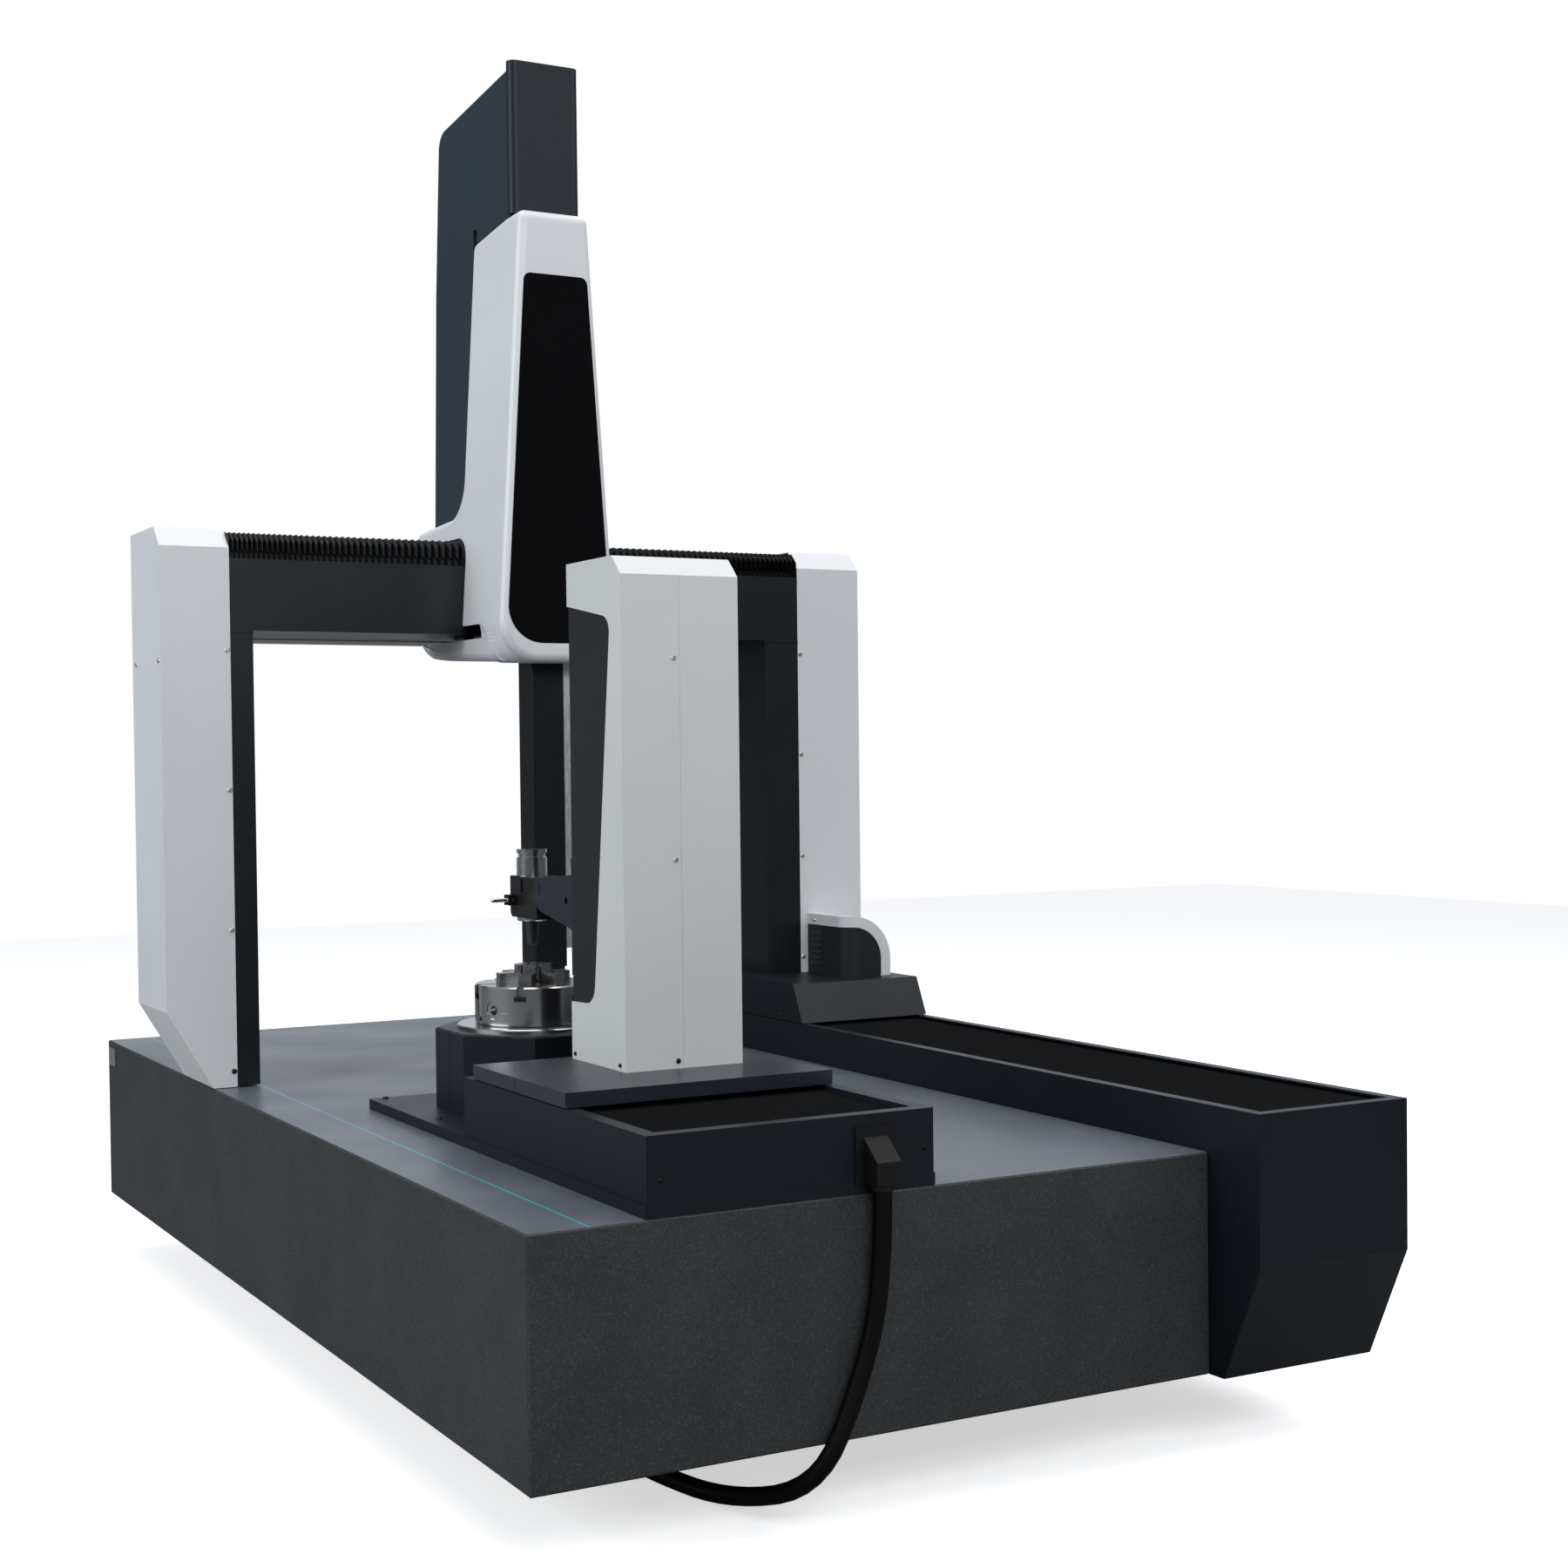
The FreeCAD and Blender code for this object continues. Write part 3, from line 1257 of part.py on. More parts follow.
def conduit_path():
    """Straight runs joined by tangent arcs, each as wide as its shorter run allows."""
    points = conduit_points()
    edges = []
    radii = []
    last = points[0]
    for i in range(1, len(points) - 1):
        back = points[i - 1] - points[i]
        on = points[i + 1] - points[i]
        shorter = min(back.Length, on.Length)
        back.normalize()
        on.normalize()
        half_turn = (math.pi - back.getAngle(on)) / 2
        reach = 0.45 * shorter
        radius = reach / math.tan(half_turn)
        radii.append(radius)
        start = points[i] + back * reach
        end = points[i] + on * reach
        middle = back + on
        middle.normalize()
        bulge = points[i] + middle * (radius / math.cos(half_turn) - radius)
        edges.append(Part.LineSegment(last, start).toShape())
        edges.append(Part.Arc(start, bulge, end).toShape())
        last = end
    edges.append(Part.LineSegment(last, points[-1]).toShape())
    print("conduit radii:", [round(r) for r in radii])
    return Part.Wire(edges)


def tail_conduit():
    path = conduit_path()
    ring = Part.Wire(Part.makeCircle(conduit_radius, conduit_points()[0], V(0, 0, -1)))
    tube = path.makePipeShell([ring], True, False)
    expected = math.pi * conduit_radius ** 2 * path.Length
    print("conduit length %.0f, volume over section times length %.4f" % (path.Length, tube.Volume / expected))
    return tube


def conduit_coil():
    """The outer shape of the put-away turns: two beside each other and one on top."""
    d = 2 * conduit_radius
    r0 = coil_radius - d
    r1 = coil_radius + d
    profile = [(r0, 9), (r0 + 9, 1), (r1 - 9, 1), (r1, 9), (r1, d - 6), (r1 - 16, d + 27),
               (r1 - 22, d + 31), (r0 + 22, d + 31), (r0 + 16, d + 27), (r0, d - 6)]
    return revolved(profile, (x_left + coil_stand, y_front + coil_back, 0))


def conduit_connector():
    """A cylindrical connector with a coupling ring, lying on the floor at the end of the coil."""
    x = x_left + coil_stand + coil_radius + 42
    y = y_front + coil_back - 40
    z = connector_radius + 1
    shell = rod(connector_radius - 4, (x, y, z), (x, y - connector_length, z))
    nut = rod(connector_radius, (x, y - connector_length + 34, z), (x, y - connector_length + 4, z))
    return joined([shell, nut])


os.makedirs("parts", exist_ok=True)

keep("granite_base", granite_base())
keep("side_plate", side_plate())
keep("damping_feet", damping_feet())
keep("y_trough_housing", y_trough_housing())
keep("y_trough_tray", y_trough_tray())
keep("y_guide_beam", y_guide_beam())
keep("y_bellows_front", y_bellows(y_front - trough_front_overhang + tray_wall + 0.3, y_ycar0 + 61.7))
keep("y_bellows_rear", y_bellows(y_ycar1 - 61.7, y_back - tray_wall - 0.3))
keep("tail_base_plate", tail_base_plate())
keep("tail_bed_box", tail_bed_box())
keep("tail_bellows", tail_bellows())
keep("rotary_table_housing", rotary_table_housing())
keep("base_screws", base_screws())
keep("gland_hood", gland_hood())
keep("tail_conduit", tail_conduit())
keep("conduit_coil", conduit_coil())
keep("conduit_connector", conduit_connector())

keep("y_carriage_block", y_carriage_block())
keep("bridge_air_bearings", bridge_air_bearings())
keep("y_carriage_cover", y_carriage_cover())
keep("y_drive_roller", y_drive_roller())
keep("right_leg", right_leg())
keep("left_leg", left_leg())
keep("beam", beam())
keep("left_pylon_cover", left_pylon_cover())
keep("right_pylon_cover", right_pylon_cover())
keep("rear_cable_tray", rear_cable_tray())
keep("motor_cover_band", motor_cover_band())
keep("motor_cover_panel", motor_cover_panel())
keep("bridge_screws", bridge_screws())

side_reach = carriage_half(z_beam_top + 30)
keep("beam_bellows_left", beam_bellows(x_leg_l0 + 0.5, x_carriage - side_reach - 0.5, 12, 20))
keep("beam_bellows_right", beam_bellows(x_leg_r1 - 0.5, x_carriage + side_reach + 0.5, 12, 20))

keep("carriage_frame", carriage_frame())
keep("carriage_air_bearings", carriage_air_bearings())
keep("carriage_cover", carriage_cover())
keep("carriage_front_panel", carriage_front_panel())
keep("tower_side_cover", tower_side_cover())
keep("tower_front_cover", tower_front_cover())
keep("z_drive_roller", z_drive_roller())

keep("z_ram", z_ram())
keep("ram_drive_strip", ram_drive_strip())
keep("probe_head_base", probe_head_base())
keep("probe_head_yoke", probe_head_yoke())
keep("probe_stylus", probe_stylus())

keep("chuck_faceplate", chuck_faceplate())
keep("chuck_body", chuck_body())
for number in range(jaw_count):
    keep("chuck_jaw_%d" % (number + 1), chuck_jaw(number))

keep("tail_slide_plate", tail_slide_plate())
keep("tail_column_frame", tail_column_frame())
keep("tail_column_cover", tail_column_cover())
keep("tail_screws", tail_screws())
keep("tail_arm", tail_arm())
keep("tail_sleeve", tail_sleeve())
keep("tail_quill", tail_quill())
keep("tail_clamp_lever", tail_clamp_lever())

print(len(made), "nodes,", sum(len(s.Solids) for s in made.values()), "solids")
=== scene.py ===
"""Dresses the measuring machine's CAD frame.

Adds the camera, materials, conduit, carriage cover, folded covers, stage and light. Lengths are in metres.
"""

import math

import bmesh
import bpy
from mathutils import Matrix, Vector


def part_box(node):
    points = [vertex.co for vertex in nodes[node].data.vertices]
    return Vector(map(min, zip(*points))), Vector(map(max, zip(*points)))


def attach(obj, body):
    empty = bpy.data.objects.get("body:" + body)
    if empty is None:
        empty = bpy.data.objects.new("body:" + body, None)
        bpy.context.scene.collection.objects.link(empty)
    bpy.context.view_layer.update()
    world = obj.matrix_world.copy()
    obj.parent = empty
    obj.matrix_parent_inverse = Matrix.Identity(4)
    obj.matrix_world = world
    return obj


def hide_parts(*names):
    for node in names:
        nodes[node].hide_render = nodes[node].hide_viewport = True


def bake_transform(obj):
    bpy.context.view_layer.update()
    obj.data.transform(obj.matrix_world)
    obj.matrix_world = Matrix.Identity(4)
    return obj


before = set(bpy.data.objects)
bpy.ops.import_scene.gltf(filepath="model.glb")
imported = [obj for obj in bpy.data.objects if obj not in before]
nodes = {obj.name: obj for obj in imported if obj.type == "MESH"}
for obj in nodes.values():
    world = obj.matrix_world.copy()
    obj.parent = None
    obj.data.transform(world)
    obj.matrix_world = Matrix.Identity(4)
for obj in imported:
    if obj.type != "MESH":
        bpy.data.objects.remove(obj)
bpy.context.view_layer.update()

# Places taken from the frame
STONE_LOW, STONE_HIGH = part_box("granite_base")
CHUCK_LOW, CHUCK_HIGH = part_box("chuck_body")
CHUCK_AXIS = ((CHUCK_LOW.x + CHUCK_HIGH.x) / 2, (CHUCK_LOW.y + CHUCK_HIGH.y) / 2)
ARM_HEAD_START = CHUCK_AXIS[1] - 0.111
SCREWS_ON_WHITE = STONE_HIGH.z + 0.20

# The stone's finish: its inlaid line, and how deep its lapped top reaches; the top is also painted paler as
# painted light
INLAID_LINE_INSET = 0.12
INLAID_LINE_HALF = 0.0026
LAPPED_SKIN = 0.0006

# Camera solved from the photograph's edges
CAMERA_PLACE = (STONE_LOW.x - 1.45784, STONE_LOW.y - 3.46008, STONE_HIGH.z + 0.80231)
CAMERA_YAW = 0.497959
CAMERA_PITCH = -0.0230865
CAMERA_ROLL = -0.0113792
FOCAL_PIXELS = 2526.9
PHOTO_PIXELS = 1800
MIDDLE_PIXELS = (848.51, 932.81)
SENSOR_WIDTH = 36


def placed(name, data):
    """An object with this data, in the scene and at its origin."""
    item = bpy.data.objects.new(name, data)
    bpy.context.scene.collection.objects.link(item)
    return item


def new_mesh(shape, name):
    """The bmesh as a mesh. The bmesh is freed."""
    data = bpy.data.meshes.new(name)
    shape.to_mesh(data)
    shape.free()
    return data


def add_camera():
    """A camera at the photograph's place, with the offset of its frame as a lens shift."""
    forward = Vector((math.sin(CAMERA_YAW) * math.cos(CAMERA_PITCH),
                      math.cos(CAMERA_YAW) * math.cos(CAMERA_PITCH), math.sin(CAMERA_PITCH)))
    level = Vector((math.cos(CAMERA_YAW), -math.sin(CAMERA_YAW), 0))
    over = level.cross(forward)
    right = math.cos(CAMERA_ROLL) * level + math.sin(CAMERA_ROLL) * over
    up = -math.sin(CAMERA_ROLL) * level + math.cos(CAMERA_ROLL) * over
    data = bpy.data.cameras.new("view")
    data.sensor_width = SENSOR_WIDTH
    data.lens = FOCAL_PIXELS / PHOTO_PIXELS * SENSOR_WIDTH
    data.shift_x = (PHOTO_PIXELS / 2 - MIDDLE_PIXELS[0]) / PHOTO_PIXELS
    data.shift_y = (MIDDLE_PIXELS[1] - PHOTO_PIXELS / 2) / PHOTO_PIXELS
    data.clip_end = 100
    camera = placed("view", data)
    turn = Matrix((right, up, -forward)).transposed().to_4x4()
    camera.matrix_world = Matrix.Translation(CAMERA_PLACE) @ turn
    bpy.context.scene.camera = camera


# Shader groups


def new_group(name, inputs, outputs):
    """An empty node group with named sockets. Inputs are (name, kind, default)."""
    group = bpy.data.node_groups.new(name, "ShaderNodeTree")
    for label, kind, value in inputs:
        socket = group.interface.new_socket(label, in_out="INPUT", socket_type="NodeSocket" + kind)
        socket.default_value = value
    for label, kind in outputs:
        group.interface.new_socket(label, in_out="OUTPUT", socket_type="NodeSocket" + kind)
    return group, group.nodes.new("NodeGroupInput"), group.nodes.new("NodeGroupOutput")


def math_node(tree, operation, a, b=None, clamp=False):
    """One Math node. Each operand is a number or a socket."""
    node = tree.nodes.new("ShaderNodeMath")
    node.operation = operation
    node.use_clamp = clamp
    for slot, value in zip(node.inputs, (a, b)):
        if value is None:
            continue
        if isinstance(value, (int, float)):
            slot.default_value = value
        else:
            tree.links.new(value, slot)
    return node.outputs[0]


def mix_colour(tree, factor, a, b):
    """Colour a at factor 0 and b at factor 1. Each is a number, a colour or a socket."""
    node = tree.nodes.new("ShaderNodeMix")
    node.data_type = "RGBA"
    for slot, value in ((node.inputs[0], factor), (node.inputs[6], a), (node.inputs[7], b)):
        if isinstance(value, (int, float, tuple)):
            slot.default_value = value
        else:
            tree.links.new(value, slot)
    return node.outputs[2]


def scaled_colour(tree, colour, level):
    node = tree.nodes.new("ShaderNodeVectorMath")
    node.operation = "SCALE"
    tree.links.new(colour, node.inputs[0])
    tree.links.new(level, node.inputs["Scale"])
    return node.outputs[0]


def noise(tree, vector, scale, detail=2.0, rough=0.5):
    node = tree.nodes.new("ShaderNodeTexNoise")
    node.inputs["Detail"].default_value = detail
    node.inputs["Roughness"].default_value = rough
    if isinstance(scale, (int, float)):
        node.inputs["Scale"].default_value = scale
    else:
        tree.links.new(scale, node.inputs["Scale"])
    tree.links.new(vector, node.inputs["Vector"])
    return node.outputs["Fac"]


def remap(tree, value, low, high, to_low, to_high):
    """The value, with the range from low to high brought to the one from to_low to to_high."""
    node = tree.nodes.new("ShaderNodeMapRange")
    for slot, number in zip(list(node.inputs)[1:5], (low, high, to_low, to_high)):
        slot.default_value = number
    tree.links.new(value, node.inputs[0])
    return node.outputs[0]


def stone_grain_group():
    """Fine crystals of many tones over a slow cloud, as in a dark measuring granite."""
    group, entry, leave = new_group(
        "stone_grain",
        [("Vector", "Vector", (0, 0, 0)), ("Dark", "Color", (0.02, 0.02, 0.02, 1)),
         ("Light", "Color", (0.2, 0.2, 0.2, 1)), ("Crystals", "Float", 300.0), ("Contrast", "Float", 1.0)],
        [("Colour", "Color"), ("Height", "Float")])
    vector = entry.outputs["Vector"]
    cells = group.nodes.new("ShaderNodeTexVoronoi")
    group.links.new(vector, cells.inputs["Vector"])
    group.links.new(entry.outputs["Crystals"], cells.inputs["Scale"])
    split = group.nodes.new("ShaderNodeSeparateColor")
    group.links.new(cells.outputs["Color"], split.inputs[0])
    fine = noise(group, vector, math_node(group, "MULTIPLY", entry.outputs["Crystals"], 0.55), 3.0, 0.7)
    cloud = noise(group, vector, 6.0, 3.0)
    tone = math_node(group, "MULTIPLY", split.outputs[0], remap(group, fine, 0.35, 0.7, 0.0, 1.2))
    tone = math_node(group, "POWER", tone, 1.6)
    tone = math_node(group, "MULTIPLY", tone, entry.outputs["Contrast"])
    tone = math_node(group, "ADD", tone, remap(group, cloud, 0.3, 0.7, -0.04, 0.06), clamp=True)
    colour = mix_colour(group, tone, entry.outputs["Dark"], entry.outputs["Light"])
    group.links.new(colour, leave.inputs["Colour"])
    group.links.new(fine, leave.inputs["Height"])
    return group


def paint_group():
    """Sprayed paint: a faint orange peel, a slow change of tone and a little dust."""
    group, entry, leave = new_group(
        "sprayed_paint",
        [("Vector", "Vector", (0, 0, 0)), ("Colour", "Color", (0.5, 0.5, 0.5, 1)), ("Gloss", "Float", 0.4),
         ("Variation", "Float", 0.06), ("Dust", "Float", 0.02)],
        [("Colour", "Color"), ("Roughness", "Float"), ("Height", "Float")])
    vector = entry.outputs["Vector"]
    peel = noise(group, vector, 420.0, 2.0)
    slow = noise(group, vector, 2.3, 3.0)
    specks = noise(group, vector, 900.0, 1.0)
    dusty = remap(group, specks, 0.66, 0.74, 0.0, 1.0)
    dusty = math_node(group, "MULTIPLY", dusty, entry.outputs["Dust"], clamp=True)
    swing = math_node(group, "MULTIPLY", remap(group, slow, 0.3, 0.7, -1.0, 1.0), entry.outputs["Variation"])
    tint = scaled_colour(group, entry.outputs["Colour"], math_node(group, "ADD", swing, 1.0))
    group.links.new(mix_colour(group, dusty, tint, (0.5, 0.5, 0.5, 1)), leave.inputs["Colour"])
    rough = math_node(group, "ADD", entry.outputs["Gloss"], remap(group, slow, 0.3, 0.7, -0.04, 0.05))
    group.links.new(rough, leave.inputs["Roughness"])
    group.links.new(peel, leave.inputs["Height"])
    return group


def tool_marks_group():
    """Fine marks of a tool: noise stretched along one axis, or rings round the axis of a turned piece."""
    group, entry, leave = new_group(
        "tool_marks",
        [("Vector", "Vector", (0, 0, 0)), ("Colour", "Color", (0.5, 0.5, 0.5, 1)), ("Gloss", "Float", 0.25),
         ("Depth", "Float", 0.1)],
        [("Colour", "Color"), ("Roughness", "Float"), ("Height", "Float")])
    vector = entry.outputs["Vector"]
    marks = noise(group, vector, 1.0, 4.0, 0.6)
    spread = math_node(group, "MULTIPLY", remap(group, marks, 0.3, 0.7, -1.0, 1.0), entry.outputs["Depth"])
    tint = scaled_colour(group, entry.outputs["Colour"], math_node(group, "ADD", spread, 1.0))
    group.links.new(tint, leave.inputs["Colour"])
    rough = math_node(group, "ADD", entry.outputs["Gloss"], spread, clamp=True)
    group.links.new(rough, leave.inputs["Roughness"])
    group.links.new(marks, leave.inputs["Height"])
    return group


GRAIN = stone_grain_group()
PAINT = paint_group()
MARKS = tool_marks_group()


# Materials


def start_material(name, roughness=0.5, metallic=0.0):
    """A material with its Principled shader, its tree and the Object coordinates."""
    material = bpy.data.materials.new(name)
    material.use_nodes = True
    tree = material.node_tree
    shader = tree.nodes["Principled BSDF"]
    shader.inputs["Roughness"].default_value = roughness
    shader.inputs["Metallic"].default_value = metallic
    place = tree.nodes.new("ShaderNodeTexCoord").outputs["Object"]
    return material, tree, shader, place


def place_group(tree, group, place, **values):
    """The group in this tree, at these coordinates and with these values for its sockets."""
    node = tree.nodes.new("ShaderNodeGroup")
    node.node_tree = group
    tree.links.new(place, node.inputs["Vector"])
    for label, value in values.items():
        node.inputs[label].default_value = value
    return node


def add_bump(tree, shader, height, strength, distance):
    bump = tree.nodes.new("ShaderNodeBump")
    bump.inputs["Strength"].default_value = strength
    bump.inputs["Distance"].default_value = distance
    tree.links.new(height, bump.inputs["Height"])
    tree.links.new(bump.outputs[0], shader.inputs["Normal"])


def mapped(tree, place, scale=(1, 1, 1), location=(0, 0, 0)):
    node = tree.nodes.new("ShaderNodeMapping")
    node.vector_type = "POINT"
    node.inputs["Scale"].default_value = scale
    node.inputs["Location"].default_value = location
    tree.links.new(place, node.inputs["Vector"])
    return node.outputs[0]


def painted(name, colour, gloss=0.4, variation=0.06, dust=0.02, peel=0.12, shine=0.5):
    """Sheet or casting in sprayed paint. shine is how strongly it mirrors, gloss how widely."""
    material, tree, shader, place = start_material(name)
    shader.inputs["Specular IOR Level"].default_value = shine
    coat = place_group(tree, PAINT, place, Colour=(*colour, 1), Gloss=gloss, Variation=variation, Dust=dust)
    tree.links.new(coat.outputs["Colour"], shader.inputs["Base Color"])
    tree.links.new(coat.outputs["Roughness"], shader.inputs["Roughness"])
    add_bump(tree, shader, coat.outputs["Height"], peel, 0.0004)
    return material


def arm_paint():
    """The tailstock's arm: a slate bracket, and black from the start of its head block."""
    material = painted("arm_paint", SLATE, gloss=0.36, variation=0.08, dust=0.04, shine=0.3)
    tree = material.node_tree
    shader = tree.nodes["Principled BSDF"]
    coat = shader.inputs["Base Color"].links[0].from_socket
    axes = tree.nodes.new("ShaderNodeSeparateXYZ")
    tree.links.new(tree.nodes["Texture Coordinate"].outputs["Object"], axes.inputs[0])
    head = math_node(tree, "GREATER_THAN", axes.outputs["Y"], ARM_HEAD_START)
    tree.links.new(mix_colour(tree, head, coat, (0.006, 0.006, 0.007, 1)), shader.inputs["Base Color"])
    return material


def screw_heads():
    """Cap screws: zinc-bright on the white covers, blackened on the dark ones below them."""
    material, tree, shader, place = start_material("screw_heads", 0.35, 1.0)
    axes = tree.nodes.new("ShaderNodeSeparateXYZ")
    tree.links.new(place, axes.inputs[0])
    bright = math_node(tree, "GREATER_THAN", axes.outputs["Z"], SCREWS_ON_WHITE)
    colour = mix_colour(tree, bright, (0.035, 0.036, 0.038, 1), (0.55, 0.56, 0.57, 1))
    tree.links.new(colour, shader.inputs["Base Color"])
    return material


def polished_steel(name, colour, gloss):
    """Bright steel without tool marks, a little smeared by hands."""
    material, tree, shader, place = start_material(name, gloss, 1.0)
    shader.inputs["Base Color"].default_value = (*colour, 1)
    smears = noise(tree, place, 35.0, 3.0)
    tree.links.new(remap(tree, smears, 0.3, 0.7, gloss - 0.03, gloss + 0.05), shader.inputs["Roughness"])
    return material


def granite(name, dark, light, crystals, roughness, contrast, shine):
    """Ground stone of one tone on all its faces."""
    material, tree, shader, place = start_material(name, roughness)
    shader.inputs["Specular IOR Level"].default_value = shine
    grain = place_group(tree, GRAIN, place, Dark=(*dark, 1), Light=(*light, 1), Crystals=crystals,
                        Contrast=contrast)
    tree.links.new(grain.outputs["Colour"], shader.inputs["Base Color"])
    add_bump(tree, shader, grain.outputs["Height"], 0.15, 0.0006)
    return material


SAWN_ROUGHNESS = 0.62


def base_granite():
    """The stone: rough-sawn dark sides, a smoother lapped top painted paler and bluer as painted light and
    painted reflection of the bright hall, and the thin line inlaid along it.
    """
    material, tree, shader, place = start_material("base_granite")
    side = place_group(tree, GRAIN, place, Dark=(0.022, 0.025, 0.027, 1), Light=(0.11, 0.115, 0.118, 1),
                       Crystals=430.0, Contrast=0.55)
    shader.inputs["Specular IOR Level"].default_value = 0.36
    # Painted light: the top's paler, bluer tone stands for light from above and the mirrored bright hall.
    top = place_group(tree, GRAIN, place, Dark=(0.086, 0.097, 0.115, 1), Light=(0.23, 0.255, 0.285, 1),
                      Crystals=460.0, Contrast=0.4)
    axes = tree.nodes.new("ShaderNodeSeparateXYZ")
    tree.links.new(place, axes.inputs[0])
    lapped_top_painted_lighter = math_node(tree, "GREATER_THAN", axes.outputs["Z"], STONE_HIGH.z - LAPPED_SKIN)
    past_line = math_node(tree, "SUBTRACT", axes.outputs["X"], STONE_LOW.x + INLAID_LINE_INSET)
    on_line = math_node(tree, "LESS_THAN", math_node(tree, "ABSOLUTE", past_line), INLAID_LINE_HALF)
    line = math_node(tree, "MULTIPLY", on_line, lapped_top_painted_lighter)
    # Painted light on the top: the lapped top's mask swaps in the paler, bluer top colour.
    colour = mix_colour(tree, lapped_top_painted_lighter, side.outputs["Colour"], top.outputs["Colour"])
    colour = mix_colour(tree, line, colour, (0.03, 0.30, 0.32, 1))
    tree.links.new(colour, shader.inputs["Base Color"])
    polish = remap(tree, noise(tree, place, 3.0, 3.0), 0.3, 0.7, 0.30, 0.42)
    smoother = math_node(tree, "SUBTRACT", polish, SAWN_ROUGHNESS)
    rough = math_node(tree, "ADD", math_node(tree, "MULTIPLY", lapped_top_painted_lighter, smoother), SAWN_ROUGHNESS)
    tree.links.new(rough, shader.inputs["Roughness"])
    height = math_node(tree, "MULTIPLY", side.outputs["Height"], math_node(tree, "SUBTRACT", 1.0, lapped_top_painted_lighter))
    add_bump(tree, shader, height, 0.5, 0.0012)
    return material


GROUND_MARKS = (500, 500, 60)
TURNED_RINGS = 1400.0


def turned_steel(name, colour, gloss, centre=None, depth=0.12):
    """Bright steel. With a centre, the marks are rings round an upright axis through it."""
    material, tree, shader, place = start_material(name, gloss, 1.0)
    if centre is None:
        vector = mapped(tree, place, GROUND_MARKS)
    else:
        local = mapped(tree, place, (1, 1, 1), (-centre[0], -centre[1], 0))
        axes = tree.nodes.new("ShaderNodeSeparateXYZ")
        tree.links.new(local, axes.inputs[0])
        squares = [math_node(tree, "MULTIPLY", axes.outputs[i], axes.outputs[i]) for i in (0, 1)]
        radius = math_node(tree, "SQRT", math_node(tree, "ADD", *squares))
        joined = tree.nodes.new("ShaderNodeCombineXYZ")
        tree.links.new(math_node(tree, "MULTIPLY", radius, TURNED_RINGS), joined.inputs[0])
        tree.links.new(math_node(tree, "MULTIPLY", axes.outputs[2], TURNED_RINGS), joined.inputs[2])
        vector = joined.outputs[0]
    marks = place_group(tree, MARKS, vector, Colour=(*colour, 1), Gloss=gloss, Depth=depth)
    tree.links.new(marks.outputs["Colour"], shader.inputs["Base Color"])
    tree.links.new(marks.outputs["Roughness"], shader.inputs["Roughness"])
    add_bump(tree, shader, marks.outputs["Height"], 0.08, 0.0002)
    return material


def gloss_black(name):
    """The front panel: smooth black plastic, as glossy as glass."""
    material, tree, shader, place = start_material(name, 0.07)
    coat = place_group(tree, PAINT, place, Colour=(0.003, 0.003, 0.0035, 1), Gloss=0.07, Variation=0.1,
                       Dust=0.0)
    tree.links.new(coat.outputs["Colour"], shader.inputs["Base Color"])
    shader.inputs["Specular IOR Level"].default_value = 0.25
    return material


def cloth_black(name, weave):
    """Coated bellows cloth with a fine square weave, painted paler along the crests of its folds as painted
    highlight and near black in the valleys as painted shade.
    """
    material, tree, shader, place = start_material(name, 0.62)
    shader.inputs["Specular IOR Level"].default_value = 0.05
    coat = place_group(tree, PAINT, place, Colour=(0.034, 0.037, 0.040, 1), Gloss=0.6, Variation=0.20,
                       Dust=0.01)
    # Painted shade and highlight: valleys (crest 0) are near black, crests (crest 1) take the cloth's own
    # colour.
    crest = tree.nodes.new("ShaderNodeAttribute")
    crest.attribute_name = "crest"
    painted_fold_light = math_node(tree, "POWER", crest.outputs["Fac"], 1.5)
    colour = mix_colour(tree, painted_fold_light, (0.0020, 0.0021, 0.0024, 1), coat.outputs["Colour"])
    tree.links.new(colour, shader.inputs["Base Color"])
    tree.links.new(coat.outputs["Roughness"], shader.inputs["Roughness"])
    waves = []
    for direction in ("X", "Y"):
        wave = tree.nodes.new("ShaderNodeTexWave")
        wave.bands_direction = direction
        wave.inputs["Scale"].default_value = weave
        tree.links.new(place, wave.inputs["Vector"])
        waves.append(wave.outputs["Fac"])
    add_bump(tree, shader, math_node(tree, "ADD", *waves), 0.12, 0.0003)
    return material


def conduit_rubber(name):
    """Dull black sheath with a fine, uneven skin."""
    material, tree, shader, place = start_material(name, 0.5)
    shader.inputs["Specular IOR Level"].default_value = 0.12
    coat = place_group(tree, PAINT, place, Colour=(0.0018, 0.0019, 0.0022, 1), Gloss=0.48, Variation=0.2,
                       Dust=0.01)
    tree.links.new(coat.outputs["Colour"], shader.inputs["Base Color"])
    tree.links.new(coat.outputs["Roughness"], shader.inputs["Roughness"])
    add_bump(tree, shader, coat.outputs["Height"], 0.2, 0.0004)
    return material


SLATE = (0.013, 0.018, 0.026)
white_paint = painted("white_paint", (0.66, 0.68, 0.70), gloss=0.38, variation=0.02, dust=0.0, peel=0.08)
# Painted shade: the white paint of the other covers, made darker on the tail column's cover.
column_shaded_white = painted("column_shaded_white", (0.62, 0.64, 0.645), gloss=0.38, variation=0.02, dust=0.0, peel=0.08)
navy_paint = painted("navy_paint", (0.0065, 0.0100, 0.0150), variation=0.10, shine=0.22)
slate_paint = painted("slate_paint", SLATE, gloss=0.34, variation=0.08, shine=0.60)
